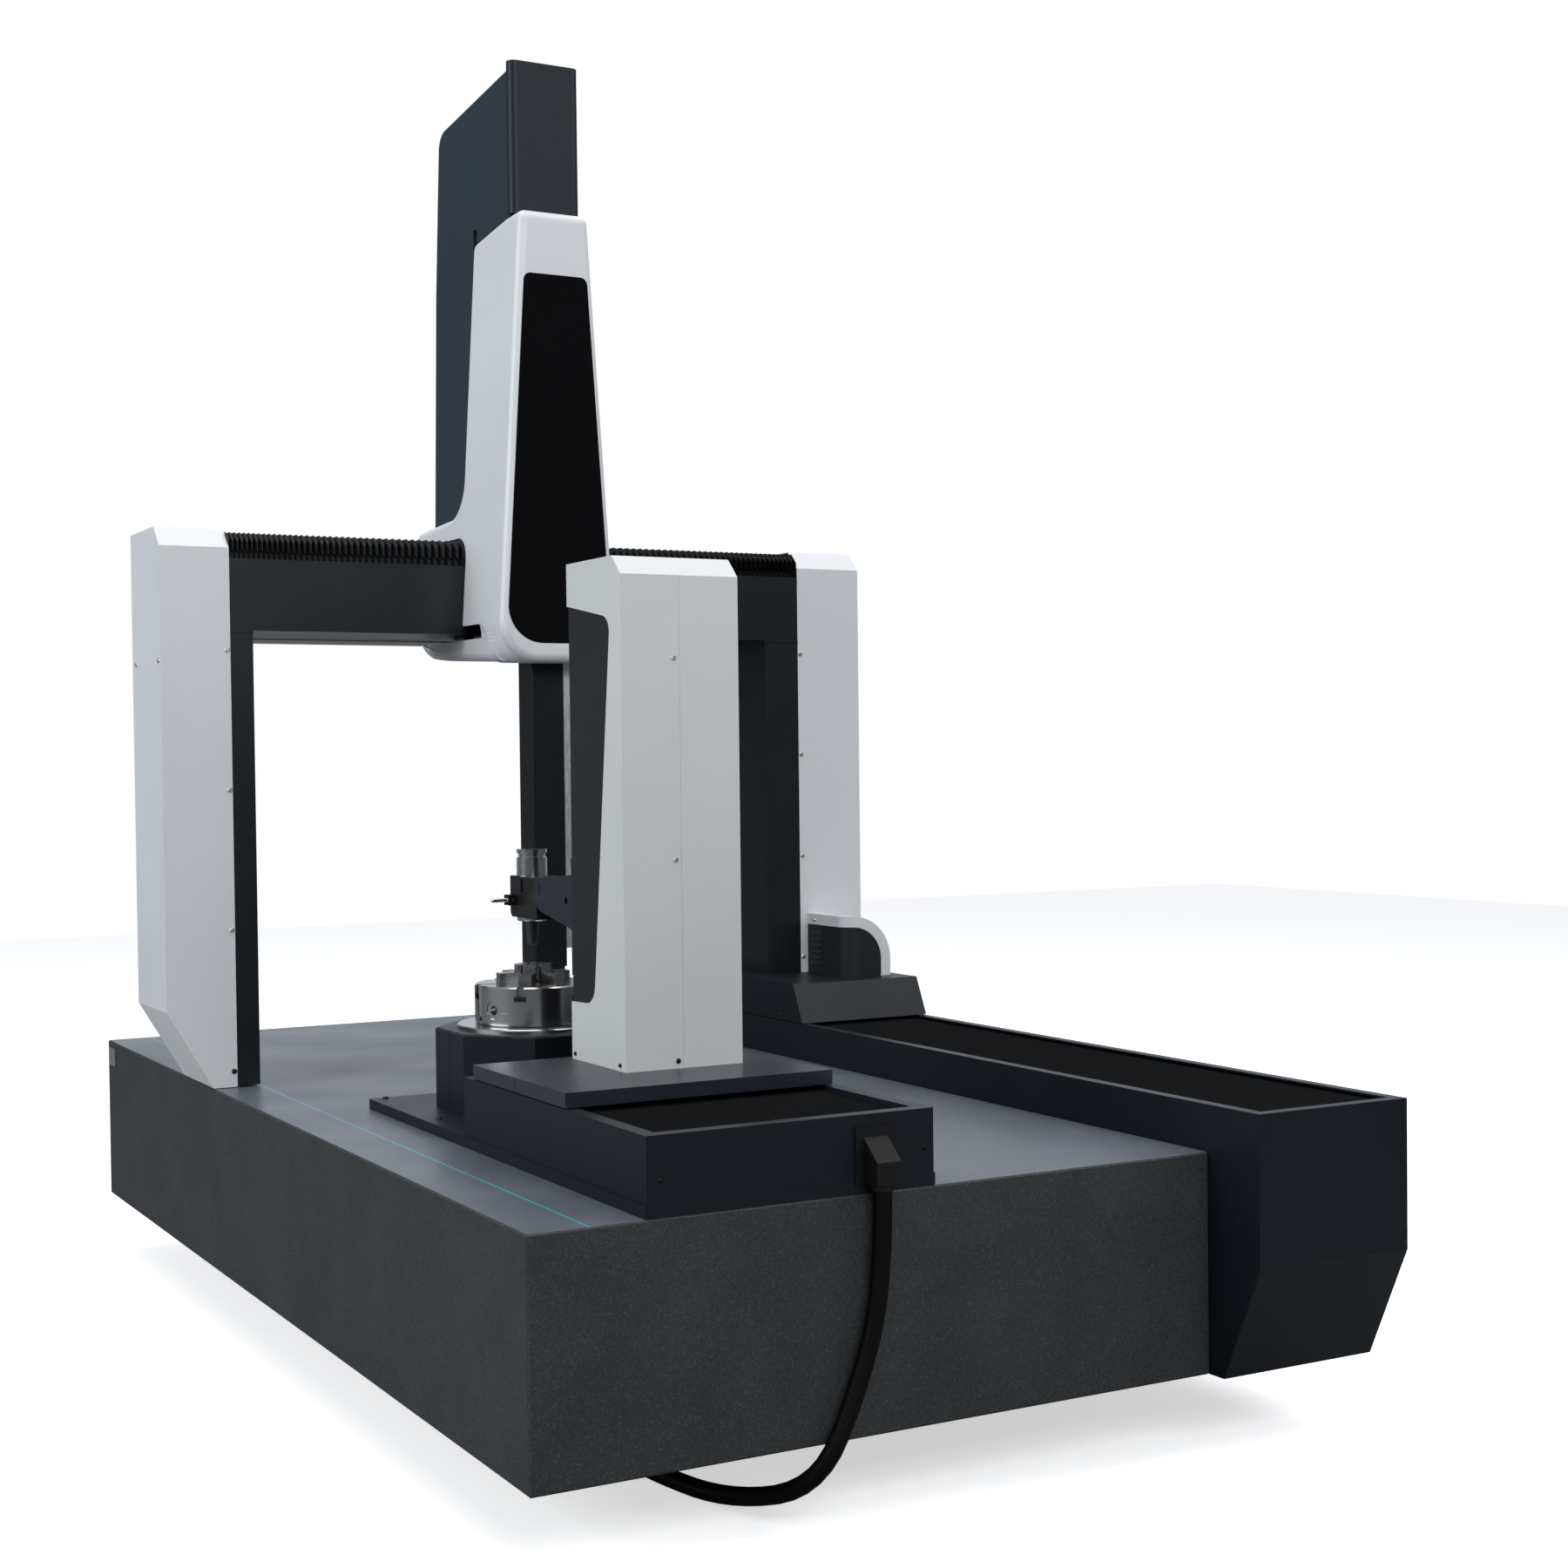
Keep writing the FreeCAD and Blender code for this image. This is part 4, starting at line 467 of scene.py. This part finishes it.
# Painted light: one dark paint in two tones, paler on the tower's side cover and darker on its front cover,
# for how light falls on each.
tower_side_lit_paint = painted("tower_side_lit_paint", (0.019, 0.030, 0.042), gloss=0.42, peel=0.1, shine=0.25)
tower_front_shaded_paint = painted("tower_front_shaded_paint", (0.009, 0.014, 0.020), gloss=0.42, peel=0.1, shine=0.22)
graphite_paint = painted("graphite_paint", (0.013, 0.0155, 0.018), gloss=0.5, peel=0.1, shine=0.25)
pale_paint = painted("pale_paint", (0.30, 0.31, 0.32), variation=0.05, peel=0.1)
black_casting = painted("black_casting", (0.006, 0.006, 0.007), gloss=0.42, variation=0.15, dust=0.04,
                        peel=0.25, shine=0.25)
head_black = painted("head_black", (0.02, 0.021, 0.024), gloss=0.35, variation=0.08, dust=0.0, peel=0.1)
bridge_stone = granite("bridge_stone", (0.005, 0.008, 0.0115), (0.032, 0.040, 0.049), crystals=520.0,
                       roughness=0.34, contrast=0.45, shine=0.3)
ram_stone = granite("ram_stone", (0.006, 0.009, 0.012), (0.034, 0.041, 0.048), crystals=520.0,
                    roughness=0.32, contrast=0.45, shine=0.2)
ground_steel = turned_steel("ground_steel", (0.55, 0.56, 0.57), gloss=0.28)
pale_strip = turned_steel("pale_strip", (0.62, 0.64, 0.66), gloss=0.4)
chuck_steel = turned_steel("chuck_steel", (0.46, 0.465, 0.47), gloss=0.20, centre=CHUCK_AXIS, depth=0.04)
bright_steel = turned_steel("bright_steel", (0.66, 0.67, 0.68), gloss=0.16, centre=CHUCK_AXIS, depth=0.1)
jaw_steel = polished_steel("jaw_steel", (0.34, 0.34, 0.345), gloss=0.26)
lever_steel = polished_steel("lever_steel", (0.66, 0.66, 0.67), gloss=0.10)
screw_finish = screw_heads()
arm_finish = arm_paint()
panel_gloss = gloss_black("panel_gloss")
bellows_cloth = cloth_black("bellows_cloth", weave=700.0)
conduit_black = conduit_rubber("conduit_black")
stone_finish = base_granite()

FINISHES = {
    stone_finish: ["granite_base"],
    black_casting: ["damping_feet", "gland_hood", "conduit_connector"],
    navy_paint: ["y_trough_tray", "y_trough_housing", "y_carriage_cover", "tail_bed_box", "tail_base_plate",
                 "rotary_table_housing"],
    slate_paint: ["tail_slide_plate"],
    arm_finish: ["tail_arm"],
    tower_side_lit_paint: ["tower_side_cover"],
    tower_front_shaded_paint: ["tower_front_cover"],
    graphite_paint: ["tail_column_frame", "carriage_frame", "y_carriage_block", "motor_cover_panel"],
    pale_paint: ["rear_cable_tray"],
    white_paint: ["left_pylon_cover", "right_pylon_cover", "carriage_cover", "motor_cover_band"],
    column_shaded_white: ["tail_column_cover"],
    bridge_stone: ["left_leg", "right_leg", "beam"],
    ram_stone: ["z_ram"],
    pale_strip: ["ram_drive_strip", "y_guide_beam", "bridge_air_bearings", "carriage_air_bearings"],
    ground_steel: ["side_plate", "y_drive_roller", "z_drive_roller"],
    screw_finish: ["bridge_screws", "base_screws", "tail_screws"],
    lever_steel: ["tail_clamp_lever"],
    bright_steel: ["tail_sleeve"],
    head_black: ["tail_quill", "probe_head_base", "probe_head_yoke", "probe_stylus"],
    panel_gloss: ["carriage_front_panel"],
    chuck_steel: ["chuck_faceplate", "chuck_body"],
    jaw_steel: ["chuck_jaw_%d" % (i + 1) for i in range(6)],
    conduit_black: ["tail_conduit", "conduit_coil"],
}


def finish_nodes():
    for material, names in FINISHES.items():
        for name in names:
            slots = nodes[name].data.materials
            slots.clear()
            slots.append(material)


# Conduit from the hood to the coil under the stone

CONDUIT_RADIUS = 0.018
HOOD_X = STONE_LOW.x + 0.703
FLOOR_LINE = CONDUIT_RADIUS + 0.001
DROP = [(0, -0.024, STONE_HIGH.z + 0.008), (0, -0.024, STONE_HIGH.z - 0.170),
        (-0.056, -0.024, STONE_HIGH.z - 0.354), (-0.145, -0.024, FLOOR_LINE + 0.070),
        (-0.215, 0.192, FLOOR_LINE), (-0.266, 0.420, FLOOR_LINE), (-0.272, 0.640, FLOOR_LINE),
        (-0.238, 0.800, FLOOR_LINE)]
COIL_MIDDLE = (STONE_LOW.x + 0.700, STONE_LOW.y + 0.900)
COIL_RADIUS = 0.198
COIL_SHIFT = 0.3
OUTER_GAP = 0.002
INNER_GAP = 0.001
TOP_TURN_LIFT = 1.75


def conduit_route():
    """The hanging stretch, then three clockwise turns: the outer and inner ones below, the last on top.

    Each turn moves over to the next one in its last share, COIL_SHIFT.
    """
    points = [(HOOD_X + x, STONE_LOW.y + y, z) for x, y, z in DROP]
    steps = 14
    turns = 3
    radii = [COIL_RADIUS + CONDUIT_RADIUS + OUTER_GAP, COIL_RADIUS - CONDUIT_RADIUS - INNER_GAP, COIL_RADIUS]
    heights = [FLOOR_LINE, FLOOR_LINE, FLOOR_LINE + TOP_TURN_LIFT * CONDUIT_RADIUS]
    for i in range(turns * steps):
        turn, part = divmod(i, steps)
        follow = min(turn + 1, turns - 1)
        late = max(0.0, part / steps - (1 - COIL_SHIFT)) / COIL_SHIFT
        radius = radii[turn] + (radii[follow] - radii[turn]) * late
        height = heights[turn] + (heights[follow] - heights[turn]) * late
        angle = math.pi - 2 * math.pi * i / steps
        x = COIL_MIDDLE[0] + radius * math.cos(angle)
        y = COIL_MIDDLE[1] + radius * math.sin(angle)
        points.append((x, y, height))
    return points


def add_conduit():
    """One smooth tube for the hanging stretch and the coil, a little shorter than the line of its points."""
    points = conduit_route()
    curve = bpy.data.curves.new("tail_conduit_tube", "CURVE")
    curve.dimensions = "3D"
    curve.bevel_depth = CONDUIT_RADIUS
    curve.bevel_resolution = 5
    curve.resolution_u = 6
    spline = curve.splines.new("NURBS")
    spline.points.add(len(points) - 1)
    for point, place in zip(spline.points, points):
        point.co = (*place, 1)
    spline.order_u = 3
    spline.use_endpoint_u = True
    curve.materials.append(conduit_black)
    tube = placed("tail_conduit_tube", curve)
    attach(tube, "base")
    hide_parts("tail_conduit", "conduit_coil")


# Carriage cover with its arch and pan

COVER_LOW, COVER_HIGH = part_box("carriage_cover")
COVER_X = (COVER_LOW.x + COVER_HIGH.x) / 2
COVER_HALF = 0.167
COVER_TAPER = 0.0636
COVER_WALL = 0.006
WIDE_CORNER = 0.100
NARROW_CORNER = 0.036
ARCH_RADIUS = 0.080
HULL_BACK = COVER_LOW.y + 0.076
ARCH_MIDDLE = Vector((COVER_X, HULL_BACK + ARCH_RADIUS, COVER_LOW.z + 0.023))
PAN_HALF = 0.153
PAN_CORNER = 0.022
PAN_WALL = 0.005
PAN_RIM = COVER_LOW.z + 0.068
PAN_FLOOR = COVER_LOW.z + 0.0045
PAN_REAR = COVER_LOW.y + 0.615
PAN_LAP = 0.020
PAN_SLOPE_LENGTH = 0.18
PAN_SLOPE_RISE = 0.016
PAN_HEEL_LENGTH = 0.045
PAN_HEEL_RISE = 0.028
PAN_HEEL_RADIUS = 0.04
RAM_HOLE_PLAY = 0.01
LIP_REACH = 0.035
LIP_GAP = 0.0004
LIP_DROPS = (0.006, 0.005, 0.004, 0.002, 0.0012)
SHARP_ANGLE = math.radians(28)

# The cutting shapes, how near a point counts as on its place, and how near two points count as one
CUTTER_HALF = 0.25
CUTTER_MARGIN = 0.1
RAM_CUTTER_HEIGHT = 0.3
NEAR = 0.001
SEAM = 0.00002


def carved(data, cutter_data):
    """The mesh with the cutter's space taken out of it."""
    pair = [placed("carving", data), placed("cutter", cutter_data)]
    modifier = pair[0].modifiers.new("carve", "BOOLEAN")
    modifier.operation = "DIFFERENCE"
    modifier.solver = "EXACT"
    modifier.object = pair[1]
    result = bpy.data.meshes.new_from_object(pair[0].evaluated_get(bpy.context.evaluated_depsgraph_get()))
    for each in pair:
        bpy.data.objects.remove(each)
    return result


def side_prism(outline, half):
    """The bmesh of a prism across the carriage, from an outline of (y, z) points."""
    shape = bmesh.new()
    verts = [shape.verts.new((COVER_X - half, y, z)) for y, z in outline]
    face = shape.faces.new(verts)
    walls = bmesh.ops.extrude_face_region(shape, geom=[face], use_keep_orig=True)
    moved = [item for item in walls["geom"] if isinstance(item, bmesh.types.BMVert)]
    bmesh.ops.translate(shape, verts=moved, vec=(2 * half, 0, 0))
    bmesh.ops.recalc_face_normals(shape, faces=shape.faces)
    return shape


def across_edges(shape, test):
    """The edges that run across the carriage and whose (y, z) place passes the test."""
    return [edge for edge in shape.edges
            if abs(edge.verts[0].co.x - edge.verts[1].co.x) > PAN_HALF and test(edge.verts[0].co)]


def rounded(shape, edges, size, segments):
    bmesh.ops.bevel(shape, geom=edges, offset=size, segments=segments, profile=0.5, affect="EDGES",
                    material=-1)


def arch_cutter():
    """What the arch takes away: all below the beam's lower edge and behind the hull."""
    top = ARCH_MIDDLE.z + ARCH_RADIUS
    far, low = COVER_HIGH.y + CUTTER_MARGIN, COVER_LOW.z - CUTTER_MARGIN
    shape = side_prism([(HULL_BACK, low), (HULL_BACK, top), (far, top), (far, low)], CUTTER_HALF)
    corner = across_edges(shape, lambda co: abs(co.y - HULL_BACK) < NEAR and abs(co.z - top) < NEAR)
    rounded(shape, corner, ARCH_RADIUS, segments=14)
    return new_mesh(shape, "arch_cutter")


def cover_half(z):
    """Half the cover's width at a height, its corners left aside."""
    return COVER_HALF - COVER_TAPER * (z - COVER_LOW.z)


def corner_middle(radius):
    """Middle of a lower corner's rounding, as its distance from the middle plane and its height."""
    z = COVER_LOW.z + radius
    return Vector((cover_half(z) - radius * math.hypot(1, COVER_TAPER), z))


def rear_half(z, inset=0.0):
    """Half the hull's width at its rear edge, narrow corner included, at a depth of inset in its wall."""
    narrow = corner_middle(NARROW_CORNER)
    if z < narrow.y:
        return narrow.x + math.sqrt(max(0.0, (NARROW_CORNER - inset) ** 2 - (narrow.y - z) ** 2))
    return cover_half(z) - inset


def narrow_corners(shape):
    """Draws the wide lower corners out to narrow ones along the hull's rear edge and its arch."""
    wide = corner_middle(WIDE_CORNER)
    least = WIDE_CORNER - COVER_WALL - 2 * NEAR
    for vert in shape.verts:
        side = 1 if vert.co.x > COVER_X else -1
        spoke = Vector((side * (vert.co.x - COVER_X), vert.co.z)) - wide
        on_corner = spoke.x > 0 and spoke.y < COVER_TAPER * spoke.x and spoke.length > least
        if vert.co.y > HULL_BACK - NEAR / 2 and on_corner:
            vert.co.x = COVER_X + side * rear_half(vert.co.z, WIDE_CORNER - spoke.length)


def cover_hull():
    """A copy of the CAD cover, cut by the arch and with its rear corners drawn out to narrow ones."""
    shape = bmesh.new()
    shape.from_mesh(nodes["carriage_cover"].data)
    bmesh.ops.remove_doubles(shape, verts=shape.verts, dist=SEAM)
    data = carved(new_mesh(shape, "cover_copy"), arch_cutter())
    shape = bmesh.new()
    shape.from_mesh(data)
    narrow_corners(shape)
    return new_mesh(shape, "cover_hull")


def ram_cutter():
    """A block round the ram and its strip, tall enough to pass the pan's floor."""
    low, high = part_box("z_ram")
    strip_low, strip_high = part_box("ram_drive_strip")
    low_y, high_y = min(low.y, strip_low.y), max(high.y, strip_high.y)
    low_x, high_x = min(low.x, strip_low.x), max(high.x, strip_high.x)
    shape = bmesh.new()
    size = (high_x - low_x + RAM_HOLE_PLAY, high_y - low_y + RAM_HOLE_PLAY, RAM_CUTTER_HEIGHT)
    bmesh.ops.create_cube(shape, size=1)
    bmesh.ops.scale(shape, verts=shape.verts, vec=size)
    middle = ((low_x + high_x) / 2, (low_y + high_y) / 2, PAN_FLOOR)
    bmesh.ops.translate(shape, verts=shape.verts, vec=middle)
    return new_mesh(shape, "ram_cutter")


def pan_form(inset):
    """The closed form of the pan, or its hollow when it is inset by the wall."""
    front, rear = HULL_BACK - PAN_LAP - 2 * inset, PAN_REAR - inset
    floor, rim = PAN_FLOOR + inset, PAN_RIM + 2 * inset
    outline = [(front, rim), (front, floor), (rear - PAN_SLOPE_LENGTH, floor + PAN_SLOPE_RISE),
               (rear - PAN_HEEL_LENGTH, floor + PAN_HEEL_RISE), (rear, rim)]
    half = PAN_HALF - inset
    shape = side_prism(outline, half)
    turns = across_edges(shape, lambda co: rear - PAN_SLOPE_LENGTH - NEAR < co.y < rear - NEAR)
    rounded(shape, turns, PAN_HEEL_RADIUS, segments=6)
    bilge = [edge for edge in shape.edges
             if all(abs(abs(vert.co.x - COVER_X) - half) < NEAR for vert in edge.verts)
             and abs(edge.verts[0].co.x - edge.verts[1].co.x) < NEAR
             and min(vert.co.z for vert in edge.verts) < rim - NEAR
             and max(vert.co.y for vert in edge.verts) > front + NEAR]
    rounded(shape, bilge, PAN_CORNER - inset, segments=6)
    bmesh.ops.recalc_face_normals(shape, faces=shape.faces)
    return new_mesh(shape, "pan_form")


def cover_pan():
    """The tray under the beam, which rises towards the rear, with the ram's hole."""
    return carved(carved(pan_form(0), pan_form(PAN_WALL)), ram_cutter())


def pan_half(z):
    """Half the pan's width at a height, rounded corner included."""
    rise = PAN_FLOOR + PAN_CORNER - z
    if rise > 0:
        return PAN_HALF - PAN_CORNER + math.sqrt(max(0.0, PAN_CORNER ** 2 - rise ** 2))
    return PAN_HALF


def arch_lip():
    """The hollow lip that turns in from the hull's arch to the pan's side, on both sides."""
    shape = bmesh.new()
    depth = shape.verts.layers.float.new("inward")
    steps = 6
    verts = []
    for i in range(steps + 1):
        angle = math.pi / 2 * i / steps
        back = LIP_REACH * (1 - math.cos(angle))
        vert = shape.verts.new((COVER_X, HULL_BACK + back, ARCH_MIDDLE.z))
        vert[depth] = math.sin(angle)
        verts.append(vert)
    edges = [shape.edges.new(pair) for pair in zip(verts, verts[1:])]
    bmesh.ops.spin(shape, geom=verts + edges, cent=ARCH_MIDDLE, axis=(1, 0, 0), angle=-math.pi / 2, steps=12)
    lower = edges
    for drop in LIP_DROPS:
        grown = bmesh.ops.extrude_edge_only(shape, edges=lower)["geom"]
        lower = [item for item in grown if isinstance(item, bmesh.types.BMEdge)]
        moved = [item for item in grown if isinstance(item, bmesh.types.BMVert)]
        bmesh.ops.translate(shape, verts=moved, vec=(0, 0, -drop))
    for vert in shape.verts:
        outer, inner = rear_half(vert.co.z) - LIP_GAP, pan_half(vert.co.z)
        vert.co.x = COVER_X + outer + (inner - outer) * vert[depth]
    bmesh.ops.mirror(shape, geom=shape.verts[:] + shape.edges[:] + shape.faces[:],
                     matrix=Matrix.Translation((-COVER_X, 0, 0)), axis="X")
    face_outward(shape)
    return new_mesh(shape, "arch_lip")


def face_outward(shape):
    """Turns the lip's faces to look away from the cover's middle plane and towards the arch's middle."""
    shape.normal_update()
    for face in shape.faces:
        middle = face.calc_center_median()
        outward = ARCH_MIDDLE - middle
        outward.x = math.copysign(outward.length, middle.x - COVER_X)
        outward.z = min(0.0, outward.z)
        if face.normal.dot(outward) < 0:
            face.normal_flip()


def add_carriage_cover():
    """One piece of hull, pan and lip in place of the CAD cover, with even shading over its flat faces."""
    shape = bmesh.new()
    for data in (cover_hull(), cover_pan(), arch_lip()):
        shape.from_mesh(data)
    data = new_mesh(shape, "carriage_saddle")
    data.materials.clear()
    data.materials.append(white_paint)
    data.shade_smooth()
    data.set_sharp_from_angle(angle=SHARP_ANGLE)
    saddle = placed("carriage_saddle", data)
    even = saddle.modifiers.new("even_shading", "WEIGHTED_NORMAL")
    even.keep_sharp = True
    even.weight = 100
    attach(saddle, "carriage")
    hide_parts("carriage_cover")


# Folded covers of coated cloth

CORNER_SPLIT = 0.0002
BEAM_FOLDS = 40
BEAM_SKIRT = 0.018
BEAM_CORNER = 0.026
BEAM_FOLD_DEPTH = 0.013
BEAM_FOLD_LIFT = 0.012
TROUGH_FOLD_PITCH = 0.014
TROUGH_FOLD_DEPTH = 0.007
BED_FOLD_PITCH = 0.010
BED_FOLD_DEPTH = 0.006


def closed_section(mesh, outline, axis, along, layer, painted_crest_light):
    """The edges of one closed outline of (across, height) points, at one place along its axis."""
    verts = []
    for across, height in outline:
        place = (along, across, height) if axis == 0 else (across, along, height)
        vert = mesh.verts.new(place)
        vert[layer] = painted_crest_light
        verts.append(vert)
    return [mesh.edges.new(pair) for pair in zip(verts, verts[1:] + verts[:1])]


def folded_cover(name, node, axis, folds, crest, valley, bodies, growth=1.0, painted_crest_light=0.16):
    """A closed pleated cover in place of one node. Its pitch grows by growth from first end to last.

    crest and valley are outlines with the same number of (across, height) points. painted_crest_light sets
    the painted highlight on the crests; the valleys get painted shade.
    """
    low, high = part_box(node)
    start, end = low[axis], high[axis]
    steps = 2 * folds
    mesh = bmesh.new()
    layer = mesh.verts.layers.float.new("crest")
    sections = []
    for i in range(steps + 1):
        part = i / steps
        weight = (part + (growth - 1) * part * part / 2) / ((growth + 1) / 2)
        along = start + (end - start) * weight
        # Crest sections carry the painted highlight; valley sections get 0, painted shade.
        outline, paleness = (valley, 0.0) if i % 2 else (crest, painted_crest_light)
        sections.append(closed_section(mesh, outline, axis, along, layer, paleness))
    for a, b in zip(sections, sections[1:]):
        bmesh.ops.bridge_loops(mesh, edges=a + b)
    for section in (sections[0], sections[-1]):
        bmesh.ops.contextual_create(mesh, geom=section)
    bmesh.ops.remove_doubles(mesh, verts=mesh.verts, dist=2 * CORNER_SPLIT)
    bmesh.ops.recalc_face_normals(mesh, faces=mesh.faces)
    data = new_mesh(mesh, name)
    data.materials.append(bellows_cloth)
    piece = placed(name, data)
    first, last = Vector((0, 0, 0)), Vector((0, 0, 0))
    first[axis], last[axis] = start, end
    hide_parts(node)
    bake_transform(piece)


def beam_sections(node):
    """Crest: chamfered upper corners and a ledge over the set-back skirt. Valley: one sharp inner corner."""
    low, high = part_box(node)
    front, back, bottom, top = low.y, high.y, low.z, high.z
    inner_front, inner_top = front + BEAM_FOLD_DEPTH, top - BEAM_FOLD_DEPTH
    ledge = bottom + BEAM_SKIRT
    crest_half = [(inner_front, bottom), (inner_front, ledge), (front, ledge), (front, top - BEAM_CORNER),
                  (front + BEAM_CORNER, top)]
    valley_half = [(inner_front, bottom), (inner_front, ledge), (inner_front, ledge + BEAM_FOLD_LIFT),
                   (inner_front, inner_top - CORNER_SPLIT), (inner_front, inner_top)]
    return [half + [(front + back - across, height) for across, height in reversed(half)]
            for half in (crest_half, valley_half)]


def flat_sections(node, depth):
    """A flat-topped fold between two walls: the whole top rises and falls."""
    low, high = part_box(node)
    crest = [(low.x, low.z), (low.x, high.z), (high.x, high.z), (high.x, low.z)]
    valley = [(low.x, low.z), (low.x, high.z - depth), (high.x, high.z - depth), (high.x, low.z)]
    return crest, valley


def add_folded_covers():
    """The two on the beam, the two in the trough and the one in the bed. The left one has the strongest
    painted highlight on its crests.
    """
    left, right = beam_sections("beam_bellows_left"), beam_sections("beam_bellows_right")
    # Each cover's crests are painted lighter by its own amount, the left beam cover the most.
    folded_cover("beam_folds_left", "beam_bellows_left", 0, BEAM_FOLDS, *left, ("bridge", "carriage"),
                 growth=1.7, painted_crest_light=1.0)
    folded_cover("beam_folds_right", "beam_bellows_right", 0, BEAM_FOLDS, *right, ("carriage", "bridge"),
                 growth=0.6, painted_crest_light=0.3)
    for name, bodies in (("front", ("base", "bridge")), ("rear", ("bridge", "base"))):
        node = "y_bellows_" + name
        low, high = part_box(node)
        folds = round((high.y - low.y) / TROUGH_FOLD_PITCH)
        folded_cover("trough_folds_" + name, node, 1, folds, *flat_sections(node, TROUGH_FOLD_DEPTH), bodies)
    low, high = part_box("tail_bellows")
    folds = round((high.y - low.y) / BED_FOLD_PITCH)
    folded_cover("bed_folds", "tail_bellows", 1, folds, *flat_sections("tail_bellows", BED_FOLD_DEPTH),
                 ("base", "tail_slide"))


# Stage

FLOOR_HALF = 14
AHEAD_GLOW = 0.62
ABOVE_GLOW = 0.34
LEAST_GLOW = 0.10


def floor_white():
    """White to the camera, and grey to all that the floor lights and is mirrored in."""
    material = bpy.data.materials.new("floor_white")
    material.use_nodes = True
    tree = material.node_tree
    shader = tree.nodes["Principled BSDF"]
    shader.inputs["Roughness"].default_value = 0.9
    shader.inputs["Emission Color"].default_value = (1, 1, 1, 1)
    seen = tree.nodes.new("ShaderNodeLightPath").outputs["Is Camera Ray"]
    tone = mix_colour(tree, seen, (0.22, 0.22, 0.22, 1), (0.86, 0.86, 0.87, 1))
    tree.links.new(tone, shader.inputs["Base Color"])
    tree.links.new(math_node(tree, "MULTIPLY", seen, 0.60), shader.inputs["Emission Strength"])
    return material


def add_stage():
    shape = bmesh.new()
    bmesh.ops.create_grid(shape, x_segments=1, y_segments=1, size=FLOOR_HALF)
    floor = placed("floor", new_mesh(shape, "floor"))
    floor.data.materials.append(floor_white())


def add_lamp(name, place, aim, size, power, colour=(1, 1, 1)):
    """A rectangular lamp that faces the point it is aimed at. Its power is in watts."""
    data = bpy.data.lights.new(name, "AREA")
    data.shape = "RECTANGLE"
    data.size, data.size_y = size
    data.energy = power
    data.color = colour
    lamp = placed(name, data)
    lamp.location = place
    lamp.rotation_euler = (Vector(aim) - Vector(place)).to_track_quat("-Z", "Y").to_euler()


def room_brightness(tree):
    """The hall as the machine mirrors it: bright above and behind it as seen from the camera, else dim."""
    axes = tree.nodes.new("ShaderNodeSeparateXYZ")
    tree.links.new(tree.nodes.new("ShaderNodeTexCoord").outputs["Generated"], axes.inputs[0])
    across = math_node(tree, "MULTIPLY", axes.outputs["X"], math.sin(CAMERA_YAW))
    along = math_node(tree, "MULTIPLY", axes.outputs["Y"], math.cos(CAMERA_YAW))
    ahead = remap(tree, math_node(tree, "ADD", across, along), 0.66, 0.95, 0.0, AHEAD_GLOW)
    above = remap(tree, axes.outputs["Z"], 0.2, 0.9, 0.0, ABOVE_GLOW)
    return math_node(tree, "ADD", math_node(tree, "ADD", ahead, above), LEAST_GLOW)


def add_world():
    """The hall for what is mirrored and lit, and plain white behind the machine for the camera."""
    world = bpy.data.worlds.new("studio")
    bpy.context.scene.world = world
    world.use_nodes = True
    tree = world.node_tree
    background = tree.nodes["Background"]
    background.inputs["Color"].default_value = (0.88, 0.93, 1.0, 1)
    tree.links.new(room_brightness(tree), background.inputs["Strength"])
    white = tree.nodes.new("ShaderNodeBackground")
    white.inputs["Color"].default_value = (1, 1, 1, 1)
    white.inputs["Strength"].default_value = 1.0
    path = tree.nodes.new("ShaderNodeLightPath")
    mix = tree.nodes.new("ShaderNodeMixShader")
    tree.links.new(path.outputs["Is Camera Ray"], mix.inputs[0])
    tree.links.new(background.outputs[0], mix.inputs[1])
    tree.links.new(white.outputs[0], mix.inputs[2])
    tree.links.new(mix.outputs[0], tree.nodes["World Output"].inputs["Surface"])


def add_lamps():
    add_lamp("left_window", place=(-9.5, 0.6, 4.4), aim=(0, 0, 1.2), size=(7, 5), power=580,
             colour=(0.94, 0.97, 1.0))
    add_lamp("front_soft", place=(-0.8, -7.5, 5.0), aim=(0, 0, 1.2), size=(6, 3), power=290,
             colour=(0.97, 0.985, 1.0))
    add_lamp("right_high", place=(4.2, -3.5, 5.2), aim=(0.9, 0.5, 0.8), size=(2.5, 2.5), power=85)
    add_lamp("ceiling", place=(0.5, 1.0, 7.0), aim=(0, 0, 0), size=(6, 8), power=330)


add_camera()
add_conduit()
finish_nodes()
add_carriage_cover()
add_folded_covers()
add_stage()
add_world()
add_lamps()
bpy.context.scene.view_settings.view_transform = "Standard"
